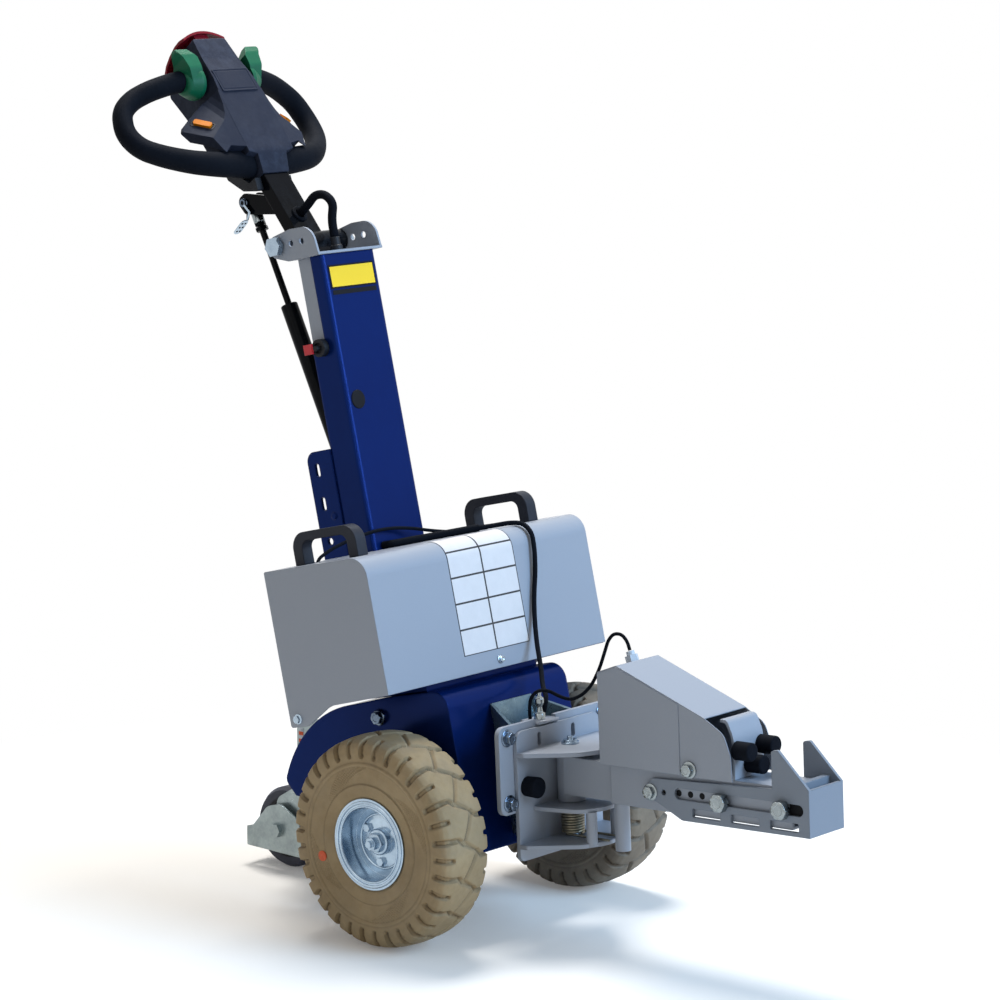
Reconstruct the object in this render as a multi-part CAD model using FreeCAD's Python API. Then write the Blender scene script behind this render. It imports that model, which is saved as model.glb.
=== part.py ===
import FreeCAD, Part
import math
import os

from FreeCAD import Placement, Rotation, Vector

# Battery tow tug, walked behind by its operator. Millimetres.
# The row frame: +X forward to the hitch, +Y to the machine's left, +Z up, floor at Z = 0.
# Three working frames lean back about Y, and each has x forward, y left and z up inside itself:
#   body    origin on the drive axle, carries the chassis, box and column
#   tiller  origin on the tiller's pivot, z runs up the pole
#   hitch   origin on the floor under the face of the hitch's mounting plate

# ---- frames ----
axle_x = 1.5             # drive axle, from the middle of the whole machine
tyre_radius = 152.5
body_pitch = 13.56        # the chassis, box and column lean back by this
hitch_pitch = 3.0
hitch_x = 146.0           # back of the hitch's mounting plate at floor level, from the axle

# ---- drive wheels ----
tyre_width = 96.0
tyre_outer_y = 253.0
lug_pitches = 34
lug_share = 0.77          # a shoulder lug's share of its pitch, the rest is slot
slot_depth = 6.0
lug_width = 24.0          # how far a shoulder lug reaches in from the tyre's side
rim_radius = 62.0
rim_lip = 3.5
rim_wall = 3.0
rim_width = 84.6
disc_depth = 24.0         # the disc's face, inside the rim's outer edge
hub_radius = 19.0
hub_length = 62.0
axle_radius = 12.5
axle_nut = 17.0
axle_stud_radius = 5.0
axle_clearance = 0.05
wheel_bolt_circle = 30.0
wheel_bolt_radius = 5.5
wheel_bolt_height = 5.0
wheel_bolt_count = 3

# ---- chassis ----
chassis_half_width = 130.0
chassis_wall = 4.0
chassis_front = 84.0
chassis_front_round = 26.0
chassis_top = 192.0
chassis_back_radius = 184.0
chassis_back_drop = 4.3     # where the rounded back starts, below the top
chassis_back_turn = 57.7    # degrees the rounded back turns through
seat_height = 156.3         # the chassis' level underside at the rear, over the caster's bracket
seat_rear = -258.0
seat_front = -190.0
chassis_bottom = -45.0
side_bolt_x = -51.0
side_bolt_z = 165.0

# ---- drive unit and battery ----
drive_half_length = 66.0
drive_half_width = 92.0
drive_height = 104.0
battery_length = 138.0
battery_width = 400.0
battery_height = 150.0

# ---- cover box ----
box_half_width = 238.0
box_front = 78.0
box_rear = -123.0
box_bottom = 202.0
box_top = 400.0
box_wall = 2.0
box_round = 29.0
box_tab_length = 35.0
box_tab_drop = 28.0
side_lead_x = -86.0
side_lead_y = -168.0

# ---- lifting handles on the box ----
handle_y = 185.0
handle_x = -36.0
handle_length = 126.0
handle_rise = 47.0
handle_bar = 18.0
handle_depth = 20.0
handle_round = 24.0

# ---- column ----
column_half_width = 56.5
column_front = -74.0
column_depth = 51.0
column_top = 838.0
column_wall = 2.5
column_front_round = 6.0
notch_depth = 27.0
notch_bottom = 704.0
flange_depth = 50.0
flange_top = 558.0
flange_bottom = 330.0
flange_wall = 5.0
flange_hole_x = -157.0
flange_slots = (530.0, 480.0)
flange_slot_length = 20.0
flange_slot_width = 9.0
flange_hole_z = 424.0
flange_hole_radius = 5.5

# ---- bracket on the column's top and the tiller's pivot ----
bracket_half_width = 68.0
bracket_wall = 4.0
bracket_front = -68.0
ear_top = 882.0
ear_rear = -168.0
pivot_x = -147.0
pivot_z = 863.0
pivot_radius = 10.0
pivot_clearance = 0.05
ear_holes = (-120.0, -98.0)
ear_hole_z = 863.0
ear_hole_radius = 5.0
gland_x = -95.0

# ---- tiller ----
tiller_pitch = 39.5
pole_half_width = 25.0
pole_half_depth = 10.0
pole_wall = 3.0
pole_end = 200.0
pole_start = -22.0
spring_arm_z = 117.0
spring_arm_x = -57.0
spring_arm_wall = 6.0
spring_arm_gap = 11.0
spring_eye_radius = 12.0

# ---- tiller head ----
head_base = 122.0
head_length = 240.0
head_face = 24.0
head_depth = 54.0
grip_radius = 16.4
grip_neck_radius = 22.0   # half the bar's height where it meets the neck

# ---- gas spring ----
spring_foot_x = -140.0
spring_foot_z = 460.0
spring_body_radius = 13.0
spring_rod_radius = 5.0
spring_cylinder_length = 330.0
spring_clearance = 0.05

# ---- caster ----
caster_x = -388.0         # wheel's axle, from the drive axle
caster_radius = 62.5
caster_width = 38.0
caster_flats = 44         # flats round the caster's tyre, a multiple of 4
caster_trail = 66.0
plate_wall = 6.0
gusset_y = 60.0
gusset_wall = 4.0
gusset_rise = 100.5       # the gussets' tips above their plate

# ---- hitch frame ----
back_plate_half_width = 122.0
back_plate_bottom = 190.0
back_plate_top = 316.0
wedge_rear_half_width = 43.0
wedge_front_half_width = 77.0
mount_half_width = 92.0
mount_wall = 6.0
mount_bottom = 120.0
mount_top = 306.0
pin_x = 27.0
sector_radius = 74.0
sector_heights = (139.0, 189.0, 271.0)
coil_radius = 15.0
coil_wire = 2.0
coil_pitch = 4.0
post_x = 92.0
post_y = 27.0

# ---- hitch arm ----
arm_half_width = 33.7
arm_bottom = 208.0
arm_height = 57.0
arm_wall = 4.0
arm_start = 127.0
arm_end = 440.0
neck_half_width = 27.0
neck_start = 35.0
hanger_x = 118.0
hanger_radius = 11.0
hanger_bottom = 133.0

# ---- hook ----
hook_half_width = 39.0
hook_wall = 5.0
hook_front = 472.0

# ---- leads ----
sheath_diameter = 11.0
lead_diameter = 7.0
thin_lead_diameter = 5.0
conduit_diameter = 13.0

# ---- helpers ----


def corner_arc(before, corner, after, radius):
    """Tangent points and the middle of the arc that rounds one corner of a path."""
    back = (before - corner).normalize()
    ahead = (after - corner).normalize()
    half_angle = back.getAngle(ahead) / 2
    reach = radius / math.tan(half_angle)
    start = corner + back * reach
    end = corner + ahead * reach
    inward = (back + ahead).normalize()
    middle = corner + inward * (radius / math.sin(half_angle) - radius)
    return start, middle, end


def rounded_wire(points, lift):
    """Closed outline. Each point is (a, b) or (a, b, corner radius), lifted into space by lift(a, b)."""
    corners = [lift(p[0], p[1]) for p in points]
    radii = [p[2] if len(p) > 2 else 0.0 for p in points]
    count = len(points)
    stretches = []
    for i, corner in enumerate(corners):
        if radii[i] > 0:
            stretches.append(corner_arc(corners[i - 1], corner, corners[(i + 1) % count], radii[i]))
        else:
            stretches.append((corner, None, corner))
    edges = []
    for i, (start, middle, end) in enumerate(stretches):
        if middle is not None:
            edges.append(Part.Arc(start, middle, end).toShape())
        following = stretches[(i + 1) % count][0]
        if end.distanceToPoint(following) > 1e-6:
            edges.append(Part.LineSegment(end, following).toShape())
    return Part.Wire(edges)


def side_plate(points, y_low, y_high):
    """Outline in x and z, carried along Y."""
    wire = rounded_wire(points, lambda a, b: Vector(a, y_low, b))
    return Part.Face(wire).extrude(Vector(0, y_high - y_low, 0))


def level_plate(points, z_low, z_high):
    """Outline in x and y, carried along Z."""
    wire = rounded_wire(points, lambda a, b: Vector(a, b, z_low))
    return Part.Face(wire).extrude(Vector(0, 0, z_high - z_low))


def upright_plate(points, x_low, x_high):
    """Outline in y and z, carried along X."""
    wire = rounded_wire(points, lambda a, b: Vector(x_low, a, b))
    return Part.Face(wire).extrude(Vector(x_high - x_low, 0, 0))


def block(x_low, x_high, y_low, y_high, z_low, z_high):
    return Part.makeBox(x_high - x_low, y_high - y_low, z_high - z_low, Vector(x_low, y_low, z_low))


def rod(radius, length, start, direction):
    return Part.makeCylinder(radius, length, Vector(*start), Vector(*direction))


def turned_about_y(profile, origin):
    """Outline of radius against y, turned about a Y line through origin."""
    wire = rounded_wire(profile, lambda a, b: Vector(a, b, 0))
    solid = Part.Face(wire).revolve(Vector(0, 0, 0), Vector(0, 1, 0), 360)
    solid.translate(Vector(*origin))
    return solid


def turned_about_z(profile, origin):
    """Outline of radius against z, turned about a Z line through origin."""
    wire = rounded_wire(profile, lambda a, b: Vector(a, 0, b))
    solid = Part.Face(wire).revolve(Vector(0, 0, 0), Vector(0, 0, 1), 360)
    solid.translate(Vector(*origin))
    return solid


def mirrored(shape):
    return shape.mirror(Vector(0, 0, 0), Vector(0, 1, 0))


def both_sides(shape):
    return shape.fuse(mirrored(shape))


def hexagon(across_flats, height, start, direction):
    """Hexagon bolt head or nut standing on start along direction."""
    radius = across_flats / math.sqrt(3)
    points = [Vector(radius * math.cos(math.radians(60 * k)), radius * math.sin(math.radians(60 * k)), 0)
              for k in range(7)]
    head = Part.Face(Part.makePolygon(points)).extrude(Vector(0, 0, height))
    head.Placement = Placement(Vector(*start), Rotation(Vector(0, 0, 1), Vector(*direction)))
    return head


def tangent_path(route, share):
    """Edges of the straight runs along a route and the tangent arcs that join them, and the arcs' radii."""
    edges = []
    radii = []
    last = route[0]
    for i in range(1, len(route) - 1):
        back = route[i - 1] - route[i]
        ahead = route[i + 1] - route[i]
        half_turn = (math.pi - back.getAngle(ahead)) / 2
        bend = share * min(back.Length, ahead.Length) / math.tan(half_turn)
        radii.append(round(bend, 1))
        start, middle, end = corner_arc(route[i - 1], route[i], route[i + 1], bend)
        edges.append(Part.LineSegment(last, start).toShape())
        edges.append(Part.Arc(start, middle, end).toShape())
        last = end
    edges.append(Part.LineSegment(last, route[-1]).toShape())
    return edges, radii


def swept(route, radius, share):
    """Round bar along a route. Gives its solid, arc radii and length."""
    edges, radii = tangent_path(route, share)
    path = Part.Wire(edges)
    section = Part.Wire(Part.makeCircle(radius, route[0], route[1] - route[0]))
    return path.makePipeShell([section], True, True), radii, path.Length


def cord(points, diameter, name):
    """Lead held all the way along its points."""
    tube, radii, length = swept([Vector(*p) for p in points], diameter / 2, 0.45)
    area = math.pi * (diameter / 2) ** 2
    print(name, "radii", radii, "length", round(length, 1), "volume ratio", round(tube.Volume / area / length, 4))
    return tube


def leaning(x, z, pitch):
    """Placement that leans a working frame back by pitch degrees, with its origin at x, z."""
    return Placement(Vector(x, 0, z), Rotation(Vector(0, 1, 0), -pitch))


machine = Placement(Vector(axle_x, 0, 0), Rotation())
body = leaning(axle_x, tyre_radius, body_pitch)
pivot_point = body.multVec(Vector(pivot_x, 0, pivot_z))
tiller = leaning(pivot_point.x, pivot_point.z, tiller_pitch)
hitch = leaning(axle_x + hitch_x, 0, hitch_pitch)

nodes = {}


def add(name, shape, frame):
    """Keep one piece, set from its working frame into the row frame."""
    placed = shape.copy()
    placed.Placement = frame.multiply(placed.Placement)
    nodes[name] = placed


# ---- drive wheels ----

def ring_faces(profile, low, high):
    """Flat faces of a ring's stretch between two angles, one along each side of its closed profile."""
    faces = []
    for k, near in enumerate(profile):
        far = profile[(k + 1) % len(profile)]
        corners = [ring_point(near, low), ring_point(near, high), ring_point(far, high), ring_point(far, low)]
        faces.append(Part.Face(Part.makePolygon(corners + corners[:1])))
    return faces


def ring_point(spot, angle):
    """A radius and y of a profile, at an angle about the Y axis."""
    radius, y = spot
    return Vector(radius * math.cos(angle), y, radius * math.sin(angle))


def closed_solid(faces):
    shell = Part.makeShell(faces)
    shell.sewShape()
    solid = Part.makeSolid(shell)
    if solid.Volume < 0:
        solid.reverse()
    return solid


def tyre():
    """Solid tyre with a lug and a slot on both shoulders of each pitch, and an unbroken middle."""
    half = tyre_width / 2
    seat = rim_width / 2 - 0.3
    bead = rim_radius + 0.4
    wall = [(bead, -seat), (rim_radius + rim_lip + 2, -seat), (bead + 34, -half), (tyre_radius - 14, -half + 1.5)]
    lug = [(tyre_radius - 4.5, -half + 5), (tyre_radius - 0.7, -half + lug_width * 0.65)]
    slot = [(radius - slot_depth, y + 3) for radius, y in lug]
    middle = [(tyre_radius, -half + lug_width)]
    rings = []
    for shoulder in (lug, slot):
        near = wall + shoulder + middle
        rings.append(near + [(radius, -y) for radius, y in reversed(near)])
    pitch = 2 * math.pi / lug_pitches
    foot = -math.pi / 2
    faces = []
    for k in range(lug_pitches):
        start = foot + pitch * k
        turn = start + pitch * lug_share
        faces += ring_faces(rings[0], start, turn)
        faces += ring_faces(rings[1], turn, start + pitch)
        for angle in (start, turn):
            for side in (1, -1):
                edge = [wall[-1]] + lug + middle + slot[::-1]
                corners = [ring_point((radius, side * y), angle) for radius, y in edge]
                faces.append(Part.Face(Part.makePolygon(corners + corners[:1])))
    return closed_solid(faces)


def rim(outer):
    """Pressed steel rim with its bolted disc. outer is +1 where the disc faces +Y."""
    half = rim_width / 2
    lip = rim_radius + rim_lip
    disc_y = half - disc_depth
    barrel = [(rim_radius - 0.3, -half), (lip, -half), (lip, -half - rim_wall), (rim_radius - rim_wall - 6, -half - rim_wall, 2),
              (rim_radius - rim_wall - 10, 0, 20), (rim_radius - rim_wall - 6, half + rim_wall, 2), (lip, half + rim_wall),
              (lip, half), (rim_radius - 0.3, half), (rim_radius - 7, 0, 20)]
    shape = turned_about_y(barrel, (0, 0, 0))
    disc = [(axle_radius + axle_clearance, disc_y - 6), (rim_radius - 9, disc_y - 6), (rim_radius - 9, disc_y - 2),
            (hub_radius + 14, disc_y), (hub_radius, disc_y), (hub_radius, disc_y + 10, 3),
            (axle_radius + axle_clearance, disc_y + 10)]
    shape = shape.fuse(turned_about_y(disc, (0, 0, 0)))
    hub = Part.makeCylinder(hub_radius + 4, hub_length, Vector(0, disc_y - 4 - hub_length, 0), Vector(0, 1, 0))
    hub = hub.cut(Part.makeCylinder(axle_radius + axle_clearance, hub_length + 2,
                                    Vector(0, disc_y - 5 - hub_length, 0), Vector(0, 1, 0)))
    shape = shape.fuse(hub)
    for k in range(wheel_bolt_count):
        angle = math.radians(30 + 360 / wheel_bolt_count * k)
        spot = (wheel_bolt_circle * math.cos(angle), disc_y - 1, wheel_bolt_circle * math.sin(angle))
        shape = shape.fuse(hexagon(2 * wheel_bolt_radius, wheel_bolt_height + 1, spot, (0, 1, 0)))
    if outer < 0:
        shape = mirrored(shape)
    return shape.removeSplitter()


wheel_y = tyre_outer_y - tyre_width / 2
for side, sign in (("right", -1), ("left", 1)):
    station = Placement(Vector(axle_x, sign * wheel_y, tyre_radius), Rotation())
    add(side + "_tyre", tyre(), station)
    add(side + "_rim", rim(sign), station)

axle_end = wheel_y + rim_width / 2 - disc_depth + 16
stud_end = tyre_outer_y - 0.7
drive = block(-drive_half_length, drive_half_length, -drive_half_width, drive_half_width,
              -drive_height / 2 + 12, drive_height / 2 + 12)
flange_reach = chassis_half_width - chassis_wall - 0.3
drive = drive.fuse(rod(axle_radius + 24, 2 * flange_reach, (0, -flange_reach, 0), (0, 1, 0)))
drive = drive.fuse(rod(axle_radius, 2 * axle_end, (0, -axle_end, 0), (0, 1, 0)))
drive = drive.fuse(rod(axle_stud_radius, 2 * stud_end, (0, -stud_end, 0), (0, 1, 0)))
for sign in (-1, 1):
    drive = drive.fuse(hexagon(axle_nut, axle_nut / 2, (0, sign * (axle_end - 0.5), 0), (0, sign, 0)))
add("drive_axle", drive.removeSplitter(), body)

# ---- chassis ----
caster_seat = body.inverse().multVec(Vector(axle_x + seat_rear, 0, seat_height))
seat_front_point = body.inverse().multVec(Vector(axle_x + seat_front, 0, seat_height))
back_turn = math.radians(chassis_back_turn)
back_start = Vector(-102, 0, chassis_top - chassis_back_drop)
back_corner = back_start - Vector(chassis_back_radius * math.tan(back_turn / 2), 0, 0)
back_end = back_corner - Vector(math.cos(back_turn), 0, math.sin(back_turn)) * (chassis_back_radius * math.tan(back_turn / 2) + 16)
chassis_side = [(chassis_front, chassis_bottom), (chassis_front, chassis_top, chassis_front_round), (-29, chassis_top),
                (back_start.x + 1, back_start.z), (back_corner.x, back_corner.z, chassis_back_radius), (back_end.x, back_end.z, 12),
                (caster_seat.x, caster_seat.z, 4), (seat_front_point.x, seat_front_point.z), (-104, chassis_bottom, 10)]


def chassis():
    outer = side_plate(chassis_side, -chassis_half_width, chassis_half_width)
    inner_width = chassis_half_width - chassis_wall
    t = chassis_wall
    wire = rounded_wire(chassis_side, lambda a, b: Vector(a, 0, b))
    inset = wire.makeOffset2D(-t)
    inside = Part.Face(inset).extrude(Vector(0, 2 * inner_width, 0))
    inside.translate(Vector(0, -inner_width, 0))
    shell = outer.cut(inside)
    belly = block(-104 + 2 * t, chassis_front - t, -inner_width, inner_width, chassis_bottom - 2, chassis_bottom + 20)
    shell = shell.cut(belly)
    axle_hole = rod(axle_radius + 14, 2 * chassis_half_width + 4, (0, -chassis_half_width - 2, 0), (0, 1, 0))
    shell = shell.cut(axle_hole)
    washer = rod(11, 3, (side_bolt_x, -chassis_half_width - 3, side_bolt_z), (0, 1, 0))
    shell = shell.fuse(washer).fuse(mirrored(washer))
    return shell.removeSplitter()


add("chassis_shell", chassis(), body)

column_base = box_bottom + 8
battery = block(box_front - box_wall - 6 - battery_length, box_front - box_wall - 6, -battery_width / 2, battery_width / 2,
                column_base, column_base + battery_height)
add("battery_block", battery, body)

# ---- cover box ----
box_side = [(box_front, box_bottom + 1.8), (box_front, box_top, box_round), (box_rear, box_top, 3),
            (box_rear, box_bottom - box_tab_drop, 4), (box_rear + box_tab_length, box_bottom - box_tab_drop, 14),
            (box_rear + box_tab_length + 50, box_bottom - 3.2, 40)]


def cover_box():
    outer = side_plate(box_side, -box_half_width, box_half_width)
    t = box_wall
    hollow = side_plate([(box_front - t, box_bottom - box_tab_drop - 2), (box_front - t, box_top - t, box_round - t),
                         (box_rear + t, box_top - t, 1), (box_rear + t, box_bottom - box_tab_drop - 2)],
                        -box_half_width + t, box_half_width - t)
    shell = outer.cut(hollow)
    behind = block(box_rear - 1, box_rear + 2 * box_tab_length, -box_half_width + t + 20, box_half_width - t - 20,
                   box_bottom - box_tab_drop - 1, box_bottom - 3.2)
    column_way = block(box_rear - 1, column_front + 0.5, -column_half_width - 0.5, column_half_width + 0.5,
                       box_bottom - 1, box_top + 1)
    lead_hole = rod(7, 10, (side_lead_x, side_lead_y, box_top - 5), (0, 0, 1))
    return shell.cut(behind).cut(column_way).cut(lead_hole).removeSplitter()


add("cover_box", cover_box(), body)

floor_tray = block(box_rear + box_wall + 0.3, box_front - box_wall - 0.3, -box_half_width + box_wall + 0.3,
                   box_half_width - box_wall - 0.3, box_bottom + 1, column_base)
tray_foot = block(-90, 40, -chassis_half_width + 10, chassis_half_width - 10, chassis_top, box_bottom + 2)
add("battery_tray", floor_tray.fuse(tray_foot).removeSplitter(), body)

# ---- lifting handles ----
handle_side = [(handle_x - handle_length / 2, box_top), (handle_x - handle_length / 2, box_top + handle_rise, handle_round),
               (handle_x + handle_length / 2, box_top + handle_rise, handle_round), (handle_x + handle_length / 2, box_top),
               (handle_x + handle_length / 2 - handle_bar, box_top),
               (handle_x + handle_length / 2 - handle_bar, box_top + handle_rise - handle_bar * 0.72, handle_round / 2),
               (handle_x - handle_length / 2 + handle_bar, box_top + handle_rise - handle_bar * 0.72, handle_round / 2),
               (handle_x - handle_length / 2 + handle_bar, box_top)]
for side, sign in (("right", -1), ("left", 1)):
    middle = sign * handle_y
    handle = side_plate(handle_side, middle - handle_depth / 2, middle + handle_depth / 2)
    add(side + "_lift_handle", handle, body)

# ---- column ----
column_rear = column_front - column_depth


def column_cover():
    """Blue front channel, with its side walls cut back at the top for the core to show."""
    outer = block(column_rear, column_front, -column_half_width, column_half_width, column_base, column_top)
    outer = outer.makeFillet(column_front_round, [e for e in outer.Edges
                             if abs(e.CenterOfMass.x - column_front) < 1e-6 and abs(e.CenterOfMass.y) > column_half_width - 1])
    inner_half = column_half_width - column_wall
    hollow = block(column_rear - 1, column_front - column_wall, -inner_half, inner_half, column_base - 1, column_top + 1)
    notch = block(column_rear - 1, column_rear + notch_depth, -column_half_width - 1, column_half_width + 1,
                  notch_bottom, column_top + 1)
    return outer.cut(hollow).cut(notch)


def column_core():
    """Silver channel inside the cover, open to the rear."""
    outer_half = column_half_width - column_wall - 0.3
    front = column_front - column_wall - 0.3
    core_wall = 3.0
    outer = block(column_rear, front, -outer_half, outer_half, column_base, column_top)
    hollow = block(column_rear - 1, front - core_wall, -outer_half + core_wall, outer_half - core_wall,
                   column_base - 1, column_top + 1)
    return outer.cut(hollow)


add("column_cover", column_cover(), body)
add("column_core", column_core(), body)


def spring_flange():
    """Slotted plate behind the column, where the gas spring's foot is pinned."""
    inner = column_half_width - column_wall
    points = [(column_rear - 0.3, flange_bottom), (column_rear - 0.3, flange_top), (column_rear - flange_depth, flange_top, 16),
              (column_rear - flange_depth, flange_bottom, 16)]
    plate = side_plate(points, -inner - flange_wall, -inner)
    for z in flange_slots:
        half_run = (flange_slot_length - flange_slot_width) / 2
        slot = [(flange_hole_x - flange_slot_width / 2, z - half_run - flange_slot_width / 2, flange_slot_width / 2 - 0.01),
                (flange_hole_x - flange_slot_width / 2, z + half_run + flange_slot_width / 2, flange_slot_width / 2 - 0.01),
                (flange_hole_x + flange_slot_width / 2, z + half_run + flange_slot_width / 2, flange_slot_width / 2 - 0.01),
                (flange_hole_x + flange_slot_width / 2, z - half_run - flange_slot_width / 2, flange_slot_width / 2 - 0.01)]
        plate = plate.cut(side_plate(slot, -inner - flange_wall - 1, -inner + 1))
    plate = plate.cut(rod(flange_hole_radius, flange_wall + 2, (flange_hole_x, -inner - flange_wall - 1, flange_hole_z), (0, 1, 0)))
    return plate


flanges = both_sides(spring_flange())
flange_inner = column_half_width - column_wall
foot_pin = rod(5, 2 * flange_inner + 2 * flange_wall + 4, (spring_foot_x, -flange_inner - flange_wall - 2, spring_foot_z), (0, 1, 0))
add("spring_flanges", flanges.fuse(foot_pin), body)


# ---- bracket ----
def column_bracket():
    """Folded plate on top of the column with two ears that carry the tiller's pivot."""
    ear = [(bracket_front, column_top, 4), (bracket_front - 6, ear_top, 26), (-118, ear_top + 2, 20),
           (pivot_x - 16, pivot_z + 14, 14), (pivot_x - 16, pivot_z - 14, 12), (-130, column_top, 12), (-112, column_top)]
    plate = side_plate(ear, -bracket_half_width, -bracket_half_width + bracket_wall)
    for x in ear_holes:
        plate = plate.cut(rod(ear_hole_radius, bracket_wall + 2, (x, -bracket_half_width - 1, ear_hole_z), (0, 1, 0)))
    plate = plate.cut(rod(pivot_radius, bracket_wall + 2, (pivot_x, -bracket_half_width - 1, pivot_z), (0, 1, 0)))
    base = block(column_rear, bracket_front, -bracket_half_width, bracket_half_width, column_top, column_top + bracket_wall)
    return both_sides(plate).fuse(base).removeSplitter()


add("column_bracket", column_bracket(), body)

bolt_reach = bracket_half_width + 3
pivot_bolt = rod(pivot_radius - 0.0, 2 * bolt_reach, (pivot_x, -bolt_reach, pivot_z), (0, 1, 0))
pivot_bolt = pivot_bolt.fuse(hexagon(26, 10, (pivot_x, -bolt_reach + 0.5, pivot_z), (0, -1, 0)))
pivot_bolt = pivot_bolt.fuse(hexagon(26, 10, (pivot_x, bolt_reach - 0.5, pivot_z), (0, 1, 0)))
add("tiller_pivot_bolt", pivot_bolt.removeSplitter(), body)

key_x = -104.0
key_z = 705.0
key_switch = rod(13, 10, (key_x, -column_half_width - 10, key_z), (0, 1, 0))
key_switch = key_switch.cut(rod(8, 3, (key_x, -column_half_width - 11, key_z), (0, 1, 0)))
key_bow = block(key_x - 22, key_x - 6, -column_half_width - 18, -column_half_width - 14, key_z - 7, key_z + 8)
key_stem = block(key_x - 7, key_x + 1, -column_half_width - 17, -column_half_width - 15, key_z - 3, key_z + 3)
key_neck = rod(4, 10, (key_x, -column_half_width - 17, key_z), (0, 1, 0))
add("key_switch", key_switch.fuse(key_neck), body)
add("key", key_bow.fuse(key_stem).cut(rod(4.05, 20, (key_x, -column_half_width - 20, key_z), (0, 1, 0))), body)

conduit_gland = turned_about_z([(0, 0), (9, 0), (9, 8), (7, 10), (7, 22, 2), (0, 22)], (gland_x, 0, column_top + bracket_wall))
add("conduit_gland", conduit_gland, body)

# ---- tiller ----


def tiller_pole():
    """Square tube on a cross bush, with the two ears that hold the gas spring's rod."""
    tube = block(-pole_half_depth, pole_half_depth, -pole_half_width, pole_half_width, pole_start, pole_end)
    hollow = block(-pole_half_depth + pole_wall, pole_half_depth - pole_wall, -pole_half_width + pole_wall,
                   pole_half_width - pole_wall, pole_start - 1, pole_end + 1)
    bush_half = bracket_half_width - bracket_wall - 0.5
    bush = rod(pivot_radius + 7, 2 * bush_half, (0, -bush_half, 0), (0, 1, 0))
    tube = tube.cut(hollow).fuse(bush)
    bore = pivot_radius + pivot_clearance
    tube = tube.cut(rod(bore, 2 * bush_half + 2, (0, -bush_half - 1, 0), (0, 1, 0)))
    ear = [(-pole_half_depth + 1, spring_arm_z - 56), (-pole_half_depth + 1, spring_arm_z - 22),
           (spring_arm_x + 8, spring_arm_z + 12, 8), (spring_arm_x - 12, spring_arm_z + 12, 10), (spring_arm_x - 10, spring_arm_z - 14, 10)]
    ear_plate = side_plate(ear, spring_arm_gap, spring_arm_gap + spring_arm_wall)
    stud = rod(5.5, 5, (spring_arm_x, spring_arm_gap + spring_arm_wall, spring_arm_z), (0, 1, 0))
    ears = both_sides(ear_plate.fuse(stud))
    return tube.fuse(ears).removeSplitter()


add("tiller_pole", tiller_pole(), tiller)

head_top = head_base + head_length
wing_corner = Vector(head_face - 9, -92.5, head_base + 70)
wing_slope = Vector(0.773, -0.501, 0.39)        # normal of the wing's sloping top
chin_slope = Vector(0.976, -0.215, -0.04)       # normal of the face below that slope
wing_thickness = 15.0
wing_floor = head_face - 42
fairing_radius = 34.0      # hollow curve between a wing's top and the head's side, in flats
shoulder_y = 46.5


def half_space(point, normal):
    """Big block on the outer side of a plane, for cutting."""
    room = Part.makeBox(400, 400, 120, Vector(-200, -200, 0))
    room.Placement = Placement(point, Rotation(Vector(0, 0, 1), normal))
    return room


def tiller_head():
    """Moulded head: a long face over the pole, with a sloping wing either side above its neck."""
    half_face = [(-27, head_base), (-30, head_base + 28), (-shoulder_y, head_base + 32), (-shoulder_y, head_base + 90),
                 (-44, head_base + 141, 80), (-38, head_base + 192, 200), (-33.5, head_top, 8)]
    other_half = [(-p[0],) + p[1:] for p in reversed(half_face)]
    back = head_face - head_depth
    core = upright_plate(half_face + other_half, back - 40, head_face + 20)
    crown = side_plate([(head_face - 12, head_base - 1), (head_face + 2, head_base + 32, 30), (head_face + 7, head_base + 141, 200),
                        (head_face + 8, head_base + 165, 60), (head_face + 4, head_base + 200, 60), (head_face + 3, head_top, 3),
                        (head_face - 44, head_top - 5, 20), (back - 14, head_top - 19, 10), (back - 35, head_top - 41, 8),
                        (back - 23, head_base + 151, 60), (back, head_base + 36, 20),
                        (-pole_half_depth - 2, head_base - 1)], -120, 120)
    core = core.common(crown)
    wing = upright_plate([(-30, head_base + 34), (-84, head_base + 38.6, 3), (-94, head_base + 68, 5), (-112, head_base + 100, 4),
                          (-106, head_base + 108, 4), (-62, head_base + 136, 4), (-30, head_base + 140)],
                         wing_floor, head_face + 2)
    wing = wing.cut(half_space(wing_corner, wing_slope)).cut(half_space(wing_corner - wing_slope * wing_thickness, wing_slope * -1))
    wall_normal = Vector(0, -1, 0)
    opening = wing_slope.getAngle(wall_normal)
    root = Vector(wing_corner.x, -shoulder_y, wing_corner.z)
    root.x -= (root - wing_corner).dot(wing_slope) / wing_slope.x
    centre = root + (wing_slope + wall_normal) * (fairing_radius / (1 + wing_slope.dot(wall_normal)))
    for share in (0.25, 0.5, 0.75):
        normal = (wing_slope * math.sin(opening * (1 - share)) + wall_normal * math.sin(opening * share)) * (1 / math.sin(opening))
        fairing = upright_plate([(-30, head_base + 36), (-80, head_base + 50), (-80, head_base + 124.5), (-62, head_base + 136),
                                 (-30, head_base + 146)], wing_floor, head_face + 20)
        wing = wing.fuse(fairing.common(crown).cut(half_space(centre - normal * fairing_radius, normal)))
    wing = wing.cut(half_space(Vector(head_face + 2, -shoulder_y, head_base + 32), chin_slope))
    head = core.fuse(both_sides(wing))
    pocket = block(-pole_half_depth - 0.3, pole_half_depth + 0.3, -pole_half_width - 0.3, pole_half_width + 0.3,
                   head_base - 2, pole_end + 0.3)
    return head.cut(pocket).removeSplitter()


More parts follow.
